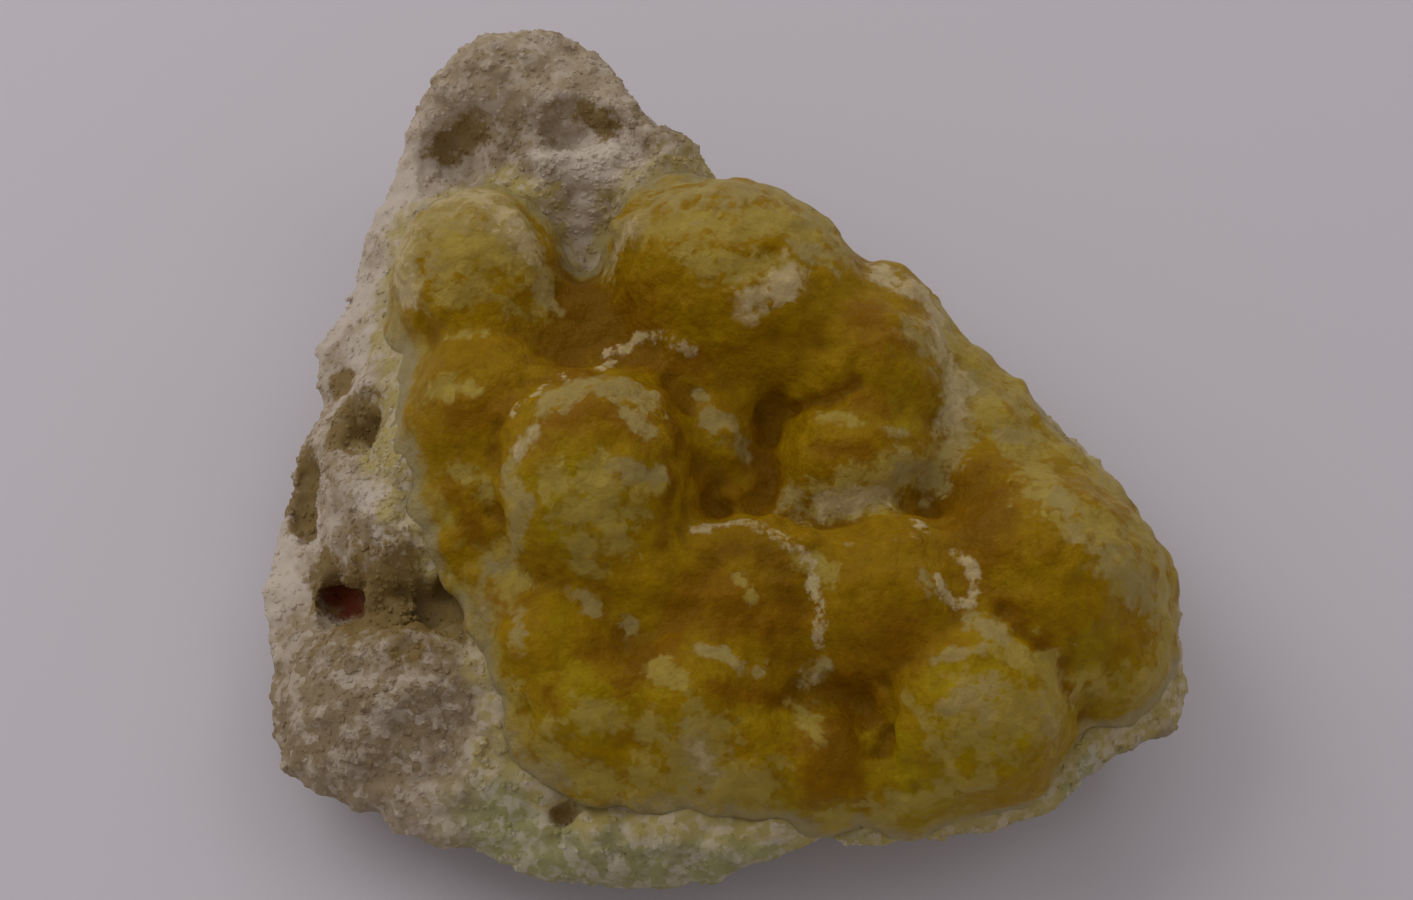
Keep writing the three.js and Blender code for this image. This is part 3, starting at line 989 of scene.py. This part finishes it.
butterMarks = [
    ("upper left ball", [(445, 250), (500, 258)], 4.6),
    ("its lower mottle", [(448, 338), (482, 334)], 0.6),
    ("foot of the upper left ball", [(465, 388), (470, 392)], 0.9),
    ("left shoulder, top", [(430, 388), (468, 386)], 1.1),
    ("left shoulder, low", [(455, 470), (488, 490)], 1),
    ("under the cap of the crest", [(650, 228), (720, 225), (800, 222)], 2.4),
    ("back of the right side", [(10, 10.4, 13), (15, 7, 12), (20, 3, 11.5), (25, -3, 11), (28, -9, 11)], 3.6),
    ("mottle of the crest", [(705, 262), (745, 262), (772, 268)], 2),
    ("behind the right rim", [(940, 322), (968, 360), (990, 400)], 2.3),
    ("back edge", [(1000, 385), (1050, 425), (1100, 470), (1140, 530), (1165, 580)], 3),
    ("inside the back edge", [(985, 415), (1030, 440), (1045, 500), (1075, 500)], 2.2),
    ("east edge", [(1165, 580), (1168, 630), (1150, 680)], 2.4),
    ("east, inner", [(1070, 505), (1110, 530), (1130, 570)], 2.4),
    ("right inner streak", [(822, 416), (850, 422)], 0.9),
    ("low on the south ball", [(905, 700), (925, 715)], 0.8),
    ("right inner patch", [(842, 478), (884, 476)], 1.3),
    ("around that patch", [(815, 500), (880, 496)], 2),
    ("right inner foot", [(895, 462), (930, 470)], 1.6),
    ("face of the centre ball", [(556, 485), (600, 478), (632, 520)], 1.9),
    ("middle of that face", [(565, 512), (600, 520), (618, 535)], 2.2),
    ("foot of that face", [(580, 540), (588, 562)], 1.6),
    ("right fleck of that face", [(636, 484), (655, 488)], 1),
    ("left edge of the centre ball", [(508, 470), (520, 510), (506, 560), (524, 576)], 1.3),
    ("west edge", [(470, 640), (490, 672), (508, 700)], 2.2),
    ("south west patch", [(550, 735), (558, 775)], 1.8),
    ("bright patch of the low west ball", [(584, 706), (606, 714), (645, 728)], 1.3),
    ("its lower edge", [(590, 722), (650, 728)], 1),
    ("low mottle", [(640, 772), (655, 790)], 1.9),
    ("bright patch of the low centre ball", [(700, 752), (690, 785), (680, 808), (720, 808)], 3.8),
    ("right of it", [(738, 780), (756, 784)], 2.6),
    ("bottom of the low west ball", [(590, 778), (612, 796)], 2.2),
    ("left foot of the ring", [(655, 668), (690, 692)], 1.2),
    ("bottom band", [(590, 815), (660, 828), (720, 824), (775, 826), (835, 822)], 1.8),
    ("bottom band, right", [(835, 820), (870, 812), (930, 800), (985, 778)], 1.4),
    ("lower right ball, upper edge", [(1020, 660), (1048, 684)], 1.6),
    ("lower right ball, middle", [(970, 716), (1000, 722), (1045, 712), (1052, 680)], 3.4),
    ("lower right ball, low", [(935, 740), (950, 770)], 1),
    ("right of the ring", [(808, 560), (832, 578)], 1.1),
    ("speck in the ring", [(744, 582), (752, 592)], 0.9),
    ("right foot of the ring", [(800, 710), (815, 730)], 1.2),
    ("east foot", [(1080, 690), (1110, 680)], 1.4),
]
# darker amber of some balls themselves; along the valley, the gap, the finger and the creases between balls
# it is painted shade
deepMarks = [
    ("valley", [(575, 288), (600, 330), (572, 352), (576, 370)], 3.2),
    ("end of the valley", [(618, 322), (650, 312)], 2.6),
    ("behind the centre ball", [(640, 362), (700, 368)], 1.9),
    ("left shoulder", [(458, 418), (512, 400)], 1.8),
    ("cap of the centre ball", [(548, 424), (590, 408), (640, 424)], 2.2),
    ("right of the crest, high", [(866, 318), (888, 336)], 2.3),
    ("right inner ball, high", [(862, 400), (886, 410)], 1.4),
    ("low west ball", [(602, 672), (622, 684)], 1.2),
    ("south west ball", [(546, 692), (556, 706)], 1.2),
    ("outside the lower right ball", [(988, 588), (1020, 625), (1054, 665), (1070, 700)], 1.1),
    ("left skirt", [(450, 480), (478, 540)], 1.2),
    ("gap", [(764, 420), (765, 492)], 2.2),
    ("foot of the gap", [(765, 495), (722, 506), (696, 482)], 2.2),
    ("left of the finger", [(668, 398), (680, 440), (690, 470)], 2),
    ("crease right of the crest", [(796, 410), (830, 396), (852, 386)], 1),
    ("east, beside the rim", [(945, 505), (978, 494), (978, 528), (986, 545)], 3.6),
    ("right inner ball", [(826, 448), (866, 452)], 1.3),
    ("south ball", [(900, 642), (862, 688), (845, 740), (830, 775)], 3.4),
    ("ring", [(700, 590), (735, 600), (790, 605)], 2.2),
    ("ring, low", [(725, 622), (785, 622)], 1.5),
    ("left of the ring", [(612, 656), (640, 660), (668, 645), (680, 620)], 2.4),
    ("west bead", [(522, 596), (496, 602), (490, 626)], 1.7),
    ("right of the low centre", [(720, 690), (780, 700)], 1.2),
]
# painted shade in the gaps and creases between the balls and in the valley
creaseShadeMarks = [
    ("valley", [(562, 350), (598, 345), (608, 325), (574, 300)], 4.4),
    ("gap", [(766, 430), (766, 480)], 1.2),
    ("left of the finger", [(670, 418), (676, 456)], 1.1),
    ("right of the crest", [(796, 408), (826, 398), (858, 384)], 0.7),
    ("right of the centre ball", [(662, 440), (672, 490), (662, 545)], 0.8),
    ("east, beside the rim", [(950, 494), (972, 496), (986, 516)], 2.6),
    ("left of the ring", [(640, 662), (632, 648)], 1.6),
    ("foot of the south ball", [(842, 705), (832, 760)], 1.8),
    ("edge of the ring", [(705, 560), (735, 545), (770, 555), (795, 590)], 1.4),
]
oliveMarks = [
    ("right of the crest", [(905, 395), (908, 410)], 3.4),
    ("lower right ball", [(985, 708)], 8),
    ("foot of the lower right", [(935, 780)], 6),
    ("low edge", [(805, 790)], 7),
    ("low west", [(600, 715)], 7),
    ("centre ball", [(590, 505)], 6),
    ("east foot", [(1095, 690)], 6),
]
# darker brown in and around the pits and holes; along the groove and under the centre ball it is painted
# shade
brownDarkeningMarks = [
    ("left pit of the knob", [(472, 130), (446, 146)], 2.4),
    ("right pit of the knob", [(586, 114), (604, 130)], 1.9),
    ("left pit", [(362, 425), (375, 436)], 4.6),
    ("left pit, outer", [(315, 470), (312, 500)], 3.2),
    ("left crevice", [(314, 490), (310, 528)], 2.4),
    ("above the rusty hole", [(326, 566)], 2.4),
    ("around the rusty hole", [(325, 585), (350, 598)], 3),
    ("groove", [(385, 602), (412, 612), (430, 622)], 8),
    ("front hole", [(562, 812)], 1.6),
    ("foot of the valley", [(572, 300), (600, 340)], 3),
    ("under the centre ball", [(476, 574), (486, 592)], 2.2),
    ("left flank", [(342, 385)], 2.2),
]
rustMarks = [("rusty hole", [(338, 592), (352, 602)], 2.4)]
paleMarks = [
    ("left flank", [(-26, 12, 8)], 12),
    ("upper left flank", [(-22, 19, 11)], 8),
    ("lower left flank", [(-30, -6, 4)], 9),
    ("ledge", [(560, 160), (600, 150), (630, 142)], 2.6),
    ("slope below the ledge", [(600, 182), (625, 190)], 6),
    ("crystals in the valley", [(578, 224), (596, 262)], 3.2),
    ("left block", [(378, 490), (408, 540)], 2.4),
    ("back right edge", [(24, 1, 9)], 8),
]
greenMarks = [
    ("right lip, upper", [(1000, 812), (1060, 775)], 8),
    ("front lip", [(560, 838), (730, 858), (880, 832)], 10),
    ("right lip", [(950, 822), (1100, 745)], 8),
    ("right knob", [(1172, 690)], 8),
    ("groove", [(428, 585)], 5),
]
dunMarks = [
    ("lower left bulge", [(310, 690), (350, 720), (400, 690)], 9),
    ("left block", [(360, 545), (385, 500)], 4.5),
    ("right knob", [(1172, 690)], 8),
    ("slope left of the ledge", [(528, 158)], 5),
    ("right end of the ledge", [(650, 128), (676, 152)], 3.4),
]
sugarMarks = [
    ("ledge", [(596, 158)], 12),
    ("left block", [(374, 488)], 9),
    ("lower left bulge", [(385, 705)], 9),
]


rockMarks = {"brownDarkening": brownDarkeningMarks, "rust": rustMarks, "pale": paleMarks, "green": greenMarks, "dun": dunMarks}
crustMarks = {
    "milkAndGlint": milkAndGlintMarks,
    "frostAndSheen": frostAndSheenMarks,
    "butter": butterMarks,
    "deep": deepMarks,
    "creaseShade": creaseShadeMarks,
    "olive": oliveMarks,
}
markShape = {
    # rounds of spreading that hollows are measured over
    "rockHollow": 6,
    "rockHollowBlur": 2,
    "crustHollow": 12,
    "crustValley": 70,
    "brownBlur": 4,
    # millimetres over which the crust's colour fades out on the rock, and the crust's edge into its skin
    "honeyFade": 3,
    "edgeFade": 2.4,
    "edgeCut": 2,  # how sharply the edge's colour is kept out of the valley
}


def markColours(rock, crust):
    # the rock's hollowness, which the material paints as shade
    hollow = hollowness(rock, markShape["rockHollow"])
    attribute(rock, "hollow", spread(rock, hollow, markShape["rockHollowBlur"]))
    for name, rows in rockMarks.items():
        attribute(rock, name, nearness(points(rock), seenOn(rock, rows)))
    near = 1 + depthInside(rock, crust) / (markShape["honeyFade"] * mm)
    attribute(rock, "honey", np.clip(near, 0, 1))
    co = points(crust)
    # hollow and valley: how far each place sinks into a crease and into a broad valley; the material paints
    # shade there
    attribute(crust, "hollow", hollowness(crust, markShape["crustHollow"]))
    attribute(crust, "valley", hollowness(crust, markShape["crustValley"]))
    for name, rows in crustMarks.items():
        wider = [(label, path, reach * crustShape["fraying"]) for label, path, reach in rows]
        attribute(crust, name, nearness(co, seenOn(crust, wider)))
    brown = np.array([row[5] for row in balls])[ballDistances(co).argmin(axis=0)]
    attribute(crust, "brown", spread(crust, brown, markShape["brownBlur"]))
    inValley = nearness(co, seenOn(crust, [row for row in deepMarks if "valley" in row[0]]))
    edge = np.clip(1 + depthInside(crust, rock) / (markShape["edgeFade"] * mm), 0, 1)
    attribute(crust, "edge", edge * np.clip(1 - markShape["edgeCut"] * inValley, 0, 1))


markColours(rock, crust)
sugar = makeSugar(rock, crust, sugarTree)
print("quartz grains:", len(sugar.data.polygons), "faces")


def newMaterial(name):
    material = bpy.data.materials.new(name)
    material.use_nodes = True
    tree = material.node_tree
    return material, tree, tree.nodes["Principled BSDF"]


def mark(tree, name):
    return node(tree, "ShaderNodeAttribute", {"attribute_name": name}).outputs["Fac"]


def span(tree, value, low, high):
    # 0 at low and below, 1 at high and above, eased between them
    made = node(tree, "ShaderNodeMapRange", {"interpolation_type": "SMOOTHSTEP"}, Value=value)
    made.inputs["From Min"].default_value = low
    made.inputs["From Max"].default_value = high
    return made.outputs["Result"]


def blended(tree, share, first, second):
    made = node(tree, "ShaderNodeMix", {"data_type": "RGBA"}, Factor=share)
    for label, colour in (("A", first), ("B", second)):
        socket = next(s for s in made.inputs if s.name == label and s.enabled)
        put(tree, (*colour, 1) if isinstance(colour, tuple) else colour, socket)
    return next(s for s in made.outputs if s.name == "Result" and s.enabled)


def newShaderGroup(name, inputs, outputs):
    group = bpy.data.node_groups.new(name, "ShaderNodeTree")
    for label, value in inputs:
        socket = group.interface.new_socket(label, in_out="INPUT", socket_type="NodeSocketFloat")
        socket.default_value = value
    for label in outputs:
        group.interface.new_socket(label, in_out="OUTPUT", socket_type="NodeSocketFloat")
    return group, group.nodes.new("NodeGroupInput"), group.nodes.new("NodeGroupOutput")


def inMillimetres(tree):
    where = node(tree, "ShaderNodeTexCoord").outputs["Object"]
    return node(tree, "ShaderNodeMapping", Vector=where, Scale=(1 / mm,) * 3).outputs["Vector"]


patchForm = {
    # how fine the blotches and the small crystals at their ends are, for a patch size of one
    "blotches": 0.6,
    "crystals": 1.6,
    "detail": 3.0,
    "roughness": 0.75,
    "least": 0.25,  # the amount below which a patch thins out to nothing
}


def makePatchGroup(name, faceted):
    # blotches: Mask covers a share of the surface that follows Amount. Faceted ones end as small crystals do,
    # and have a Shade for each crystal.
    group, given, result = newShaderGroup(
        name,
        [
            ("Amount", 0.5),
            ("Patch Size", 1.4),
            ("Softness", 0.3),
            ("Raggedness", 2.4),
            ("Shift", 0.0),
            *[("Facets", 0.5)] * faceted,
        ],
        ["Mask", *["Shade"] * faceted],
    )
    shift = combined(group, X=given.outputs["Shift"], Y=given.outputs["Shift"])
    where = vectorMaths(group, "ADD", inMillimetres(group), shift)
    if faceted:
        finer = maths(group, "DIVIDE", patchForm["crystals"], given.outputs["Patch Size"])
        cells = node(group, "ShaderNodeTexVoronoi", Vector=where, Scale=finer)
        toCell = vectorMaths(group, "SUBTRACT", cells.outputs["Position"], where)
        where = vectorMaths(group, "ADD", where, scaled(group, toCell, given.outputs["Facets"]))
        chance = node(group, "ShaderNodeSeparateColor", Color=cells.outputs["Color"]).outputs["Red"]
        group.links.new(chance, result.inputs["Shade"])
    scale = maths(group, "DIVIDE", patchForm["blotches"], given.outputs["Patch Size"])
    blotch = node(group, "ShaderNodeTexNoise", Vector=where, Scale=scale)
    blotch.inputs["Detail"].default_value = patchForm["detail"]
    blotch.inputs["Roughness"].default_value = patchForm["roughness"]
    centred = maths(group, "SUBTRACT", blotch.outputs[0], 0.5)
    centred = maths(group, "MULTIPLY", centred, given.outputs["Raggedness"])
    level = maths(group, "ADD", centred, maths(group, "SUBTRACT", given.outputs["Amount"], 0.5))
    share = maths(group, "ADD", maths(group, "DIVIDE", level, given.outputs["Softness"]), 0.5, clamp=True)
    onlyNear = span(group, given.outputs["Amount"], 0.0, patchForm["least"])
    group.links.new(maths(group, "MULTIPLY", span(group, share, 0.0, 1.0), onlyNear), result.inputs["Mask"])
    return group


mistForm = {"Scale": 5.0, "Detail": 3.0}  # for each millimetre


def makeGrainGroup():
    # fine grain for a Bump node
    group, given, result = newShaderGroup("fineGrain", [("Grain Size", 0.4), ("Roundness", 0.5)], ["Height"])
    where = inMillimetres(group)
    finer = maths(group, "DIVIDE", 1.0, given.outputs["Grain Size"])
    grains = node(group, "ShaderNodeTexVoronoi", Vector=where, Scale=finer)
    mist = node(group, "ShaderNodeTexNoise", Vector=where, **mistForm).outputs[0]
    lump = maths(group, "SUBTRACT", 1.0, grains.outputs["Distance"])
    total = maths(group, "ADD", maths(group, "MULTIPLY", lump, given.outputs["Roundness"]), mist)
    group.links.new(total, result.inputs["Height"])
    return group


def placedGroup(tree, group, **inputs):
    return node(tree, "ShaderNodeGroup", {"node_tree": group}, **inputs)


def masksOf(tree, look, patches, clouds):
    # the look's patch groups, and the masks that its colours are laid on with, by name
    made = {}
    for name, (kind, settings) in look["patches"].items():
        if "Amount" not in settings:
            settings = {**settings, "Amount": maths(tree, "MULTIPLY", mark(tree, name), look["markShare"])}
        made[name] = placedGroup(tree, patches if kind == "crystals" else clouds, **settings)
    masks = {name: group.outputs["Mask"] for name, group in made.items()}
    for name, (low, high) in look["slopes"].items():
        masks[name] = span(tree, mark(tree, name), low, high)
    return made, masks


def finishShader(tree, shader, look, masks, roughMask, grain):
    # the look's layers of colour, its roughness, its fine grain and its plain values
    colour = look[look["base"]]
    for name, tint, share in look["layers"]:
        colour = blended(tree, maths(tree, "MULTIPLY", masks[name], share), colour, look[tint])
    tree.links.new(colour, shader.inputs["Base Color"])
    least, more = look["rough"]
    rough = maths(tree, "ADD", least, maths(tree, "MULTIPLY", roughMask, more))
    tree.links.new(rough, shader.inputs["Roughness"])
    strength, distance, settings = look["grain"]
    height = placedGroup(tree, grain, **settings).outputs["Height"]
    bump = node(tree, "ShaderNodeBump", Strength=strength, Distance=distance * mm, Height=height)
    tree.links.new(bump.outputs["Normal"], shader.inputs["Normal"])
    settle(shader, look["surface"])


def settle(shader, values):
    # plain values of a shader by the names of its inputs
    for name, value in values.items():
        shader.inputs[name].default_value = value


quartzLook = {
    "tan": (0.355, 0.265, 0.152),
    "grey": (0.42, 0.33, 0.215),
    "white": (0.62, 0.53, 0.43),
    "green": (0.32, 0.295, 0.12),
    "dun": (0.27, 0.195, 0.105),
    "butter": (0.42, 0.33, 0.10),
    "rust": (0.14, 0.024, 0.004),
    "brown": (0.21, 0.13, 0.03),
    # crease: the darker colour of the painted shade in hollows, and of the random shadow clouds
    "crease": (0.23, 0.16, 0.08),
    "patches": {
        # name, how their edges look, inputs; where no amount is given, the mark of that name gives it
        "fleck": (
            "crystals",
            {"Amount": 0.42, "PatchSize": 0.8, "Facets": 0.7, "Softness": 0.4, "Shift": 5.0},
        ),
        "broad": ("clouds", {"Amount": 0.5, "PatchSize": 3.0, "Softness": 0.7, "Shift": 9.0}),
        "shadow": ("clouds", {"Amount": 0.3, "PatchSize": 1.6, "Softness": 0.6, "Shift": 13.0}),
        "pale": ("crystals", {"PatchSize": 2.0, "Facets": 0.4, "Softness": 0.7}),
        "brownDarkening": ("clouds", {"PatchSize": 1.2, "Raggedness": 1.6}),
        "rust": ("clouds", {"PatchSize": 0.8, "Raggedness": 1.0, "Softness": 0.5}),
        "honey": ("crystals", {"PatchSize": 1.8, "Facets": 0.5, "Softness": 0.6}),
    },
    "markShare": 1.0,
    "slopes": {"green": (0.0, 0.6), "dun": (0.0, 0.7), "hollow": (0.02, 0.3)},  # marks that come in evenly
    "base": "tan",
    "layers": [
        # from below: mask, colour, share
        ("broad", "grey", 1.0),
        ("green", "green", 1.0),
        ("dun", "dun", 1.0),
        ("shadow", "crease", 0.5),
        ("pale", "white", 0.8),
        ("honey", "butter", 0.85),
        ("fleck", "white", 0.5),
        # painted shade: darker in the rock's hollows and creases
        ("hollow", "crease", 0.5),
        # darker brown in the pits and holes, painted shade along the groove and under the centre ball
        ("brownDarkening", "brown", 0.9),
        ("rust", "rust", 1.0),
    ],
    "rough": (0.5, 0.3),  # at least, and how much more on the flecks' crystals
    "grain": (0.3, 0.1, {"GrainSize": 0.35, "Roundness": 0.6}),  # strength, depth, inputs
    "surface": {"IOR": 1.54, "Specular IOR Level": 0.2},
}
fluoriteLook = {
    "olive": (0.44, 0.31, 0.002),
    "honey": (0.42, 0.24, 0.0),
    "resin": (0.37, 0.195, 0.0),
    "amber": (0.31, 0.14, 0.0),
    # umber: the colour of the painted shade in the gaps, creases and valleys
    "umber": (0.225, 0.10, 0.0),
    "skin": (0.44, 0.36, 0.17),
    "butter": (0.50, 0.37, 0.07),
    "cream": (0.47, 0.355, 0.115),
    # the milky white of patches and rims, also used for painted highlights
    "milkAndGlint": (0.66, 0.52, 0.26),
    "shade": (0.22, 0.10, 0.0),
    "patches": {
        "olive": ("clouds", {"PatchSize": 3.0, "Softness": 0.6, "Shift": 3.0}),
        "brown": ("clouds", {"PatchSize": 1.4, "Softness": 0.6, "Shift": 15.0, "Raggedness": 1.8}),
        "deep": ("clouds", {"PatchSize": 1.4, "Softness": 0.7, "Shift": 7.0, "Raggedness": 1.8}),
        "creaseShade": ("clouds", {"PatchSize": 1.2, "Softness": 0.8, "Shift": 19.0, "Raggedness": 1.8}),
        "butter": ("crystals", {"PatchSize": 1.0, "Softness": 0.45, "Shift": 2.0, "Raggedness": 2.7}),
        "frostAndSheen": ("crystals", {"PatchSize": 0.9, "Softness": 0.45, "Shift": 4.0, "Raggedness": 2.7}),
        "edge": ("clouds", {"PatchSize": 2.2, "Softness": 0.5, "Shift": 8.0}),
        "milkAndGlint": ("crystals", {"PatchSize": 0.9, "Softness": 0.5, "Shift": 6.0, "Raggedness": 2.2}),
        "rim": (
            "crystals",
            {"PatchSize": 0.5, "Facets": 0.6, "Softness": 0.5, "Shift": 1.0, "Raggedness": 2.2},
        ),
        "mottle": ("crystals", {"Amount": 0.42, "PatchSize": 0.9, "Softness": 0.8, "Shift": 11.0}),
        "shade": ("clouds", {"Amount": 0.42, "PatchSize": 0.7, "Softness": 0.7, "Shift": 17.0}),
    },
    "markShare": 0.85,
    "slopes": {"hollow": (0.0, 0.4), "valley": (0.03, 0.45)},
    # how strongly the creases take the painted shade
    "creaseShare": 0.7,
    "skinSlope": (0.55, 0.95),  # where the crust's thin edge turns into its skin
    "skinMottle": 0.2,
    "base": "honey",
    "layers": [
        ("olive", "olive", 1.0),
        ("brown", "resin", 0.85),
        ("mottle", "olive", 0.28),
        # painted shade: darker amber in the creases, together with the deep marks
        ("creases", "amber", 1.0),
        # painted shade along the marked gaps and creases
        ("creaseShade", "umber", 0.9),
        # painted shade over the broad valleys between the balls
        ("valley", "umber", 0.85),
        ("shade", "shade", 0.35),
        ("butter", "butter", 0.95),
        ("edge", "butter", 0.9),
        # frosted cream, with a painted reflection on the crest
        ("frostAndSheen", "cream", 1.0),
        # milky patches, with painted highlights on the crest and the upper left ball
        ("milkAndGlint", "milkAndGlint", 1.0),
        ("rim", "milkAndGlint", 1.0),
        ("skin", "skin", 1.0),
        ("crystals", "shade", 0.22),
    ],
    "rough": (0.42, 0.2),  # at least, and how much more where it is frosted
    "grain": (0.7, 0.14, {"GrainSize": 0.55, "Roundness": 1.0}),
    "surface": {
        "IOR": 1.434,
        "Specular IOR Level": 0.15,
        "Specular Tint": (1.0, 0.75, 0.25, 1),
        "Transmission Weight": 0.22,
        "Subsurface Weight": 0.5,
        "Subsurface Radius": (1.0, 0.6, 0.05),
        "Subsurface Scale": 1.0 * mm,
    },
    "absorption": {"Color": (1.0, 0.93, 0.02, 1), "Density": 1800.0},  # for each metre
}


def makeQuartz(patches, clouds, grain):
    material, tree, shader = newMaterial("sugaryQuartz")
    made, masks = masksOf(tree, quartzLook, patches, clouds)
    finishShader(tree, shader, quartzLook, masks, made["fleck"].outputs["Shade"], grain)
    return material


def makeFluorite(patches, clouds, grain):
    look = fluoriteLook
    material, tree, shader = newMaterial("honeyFluorite")
    made, masks = masksOf(tree, look, patches, clouds)
    # painted shade in the creases, where the crust sags, joined with the deep marks
    creases = maths(tree, "MULTIPLY", masks["hollow"], look["creaseShare"])
    masks["creases"] = maths(tree, "MAXIMUM", masks["deep"], creases)
    uneven = maths(tree, "MULTIPLY", masks["mottle"], look["skinMottle"])
    masks["skin"] = span(tree, maths(tree, "ADD", mark(tree, "edge"), uneven), *look["skinSlope"])
    masks["crystals"] = made["butter"].outputs["Shade"]
    finishShader(tree, shader, look, masks, masks["frostAndSheen"], grain)
    absorption = tree.nodes.new("ShaderNodeVolumeAbsorption")
    settle(absorption, look["absorption"])
    tree.links.new(absorption.outputs["Volume"], tree.nodes["Material Output"].inputs["Volume"])
    return material


patches = makePatchGroup("crystalPatches", True)
clouds = makePatchGroup("cloudyPatches", False)
grain = makeGrainGroup()
sugaryQuartz = makeQuartz(patches, clouds, grain)
honeyFluorite = makeFluorite(patches, clouds, grain)
for piece, material in ((rock, sugaryQuartz), (sugar, sugaryQuartz), (crust, honeyFluorite)):
    piece.data.materials.clear()
    piece.data.materials.append(material)
print("materials are on")

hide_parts("quartz_matrix")
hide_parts("fluorite_crust")
for piece, finishName in ((rock, "quartz"), (sugar, "quartz"), (crust, "fluorite")):
    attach(piece, "root")
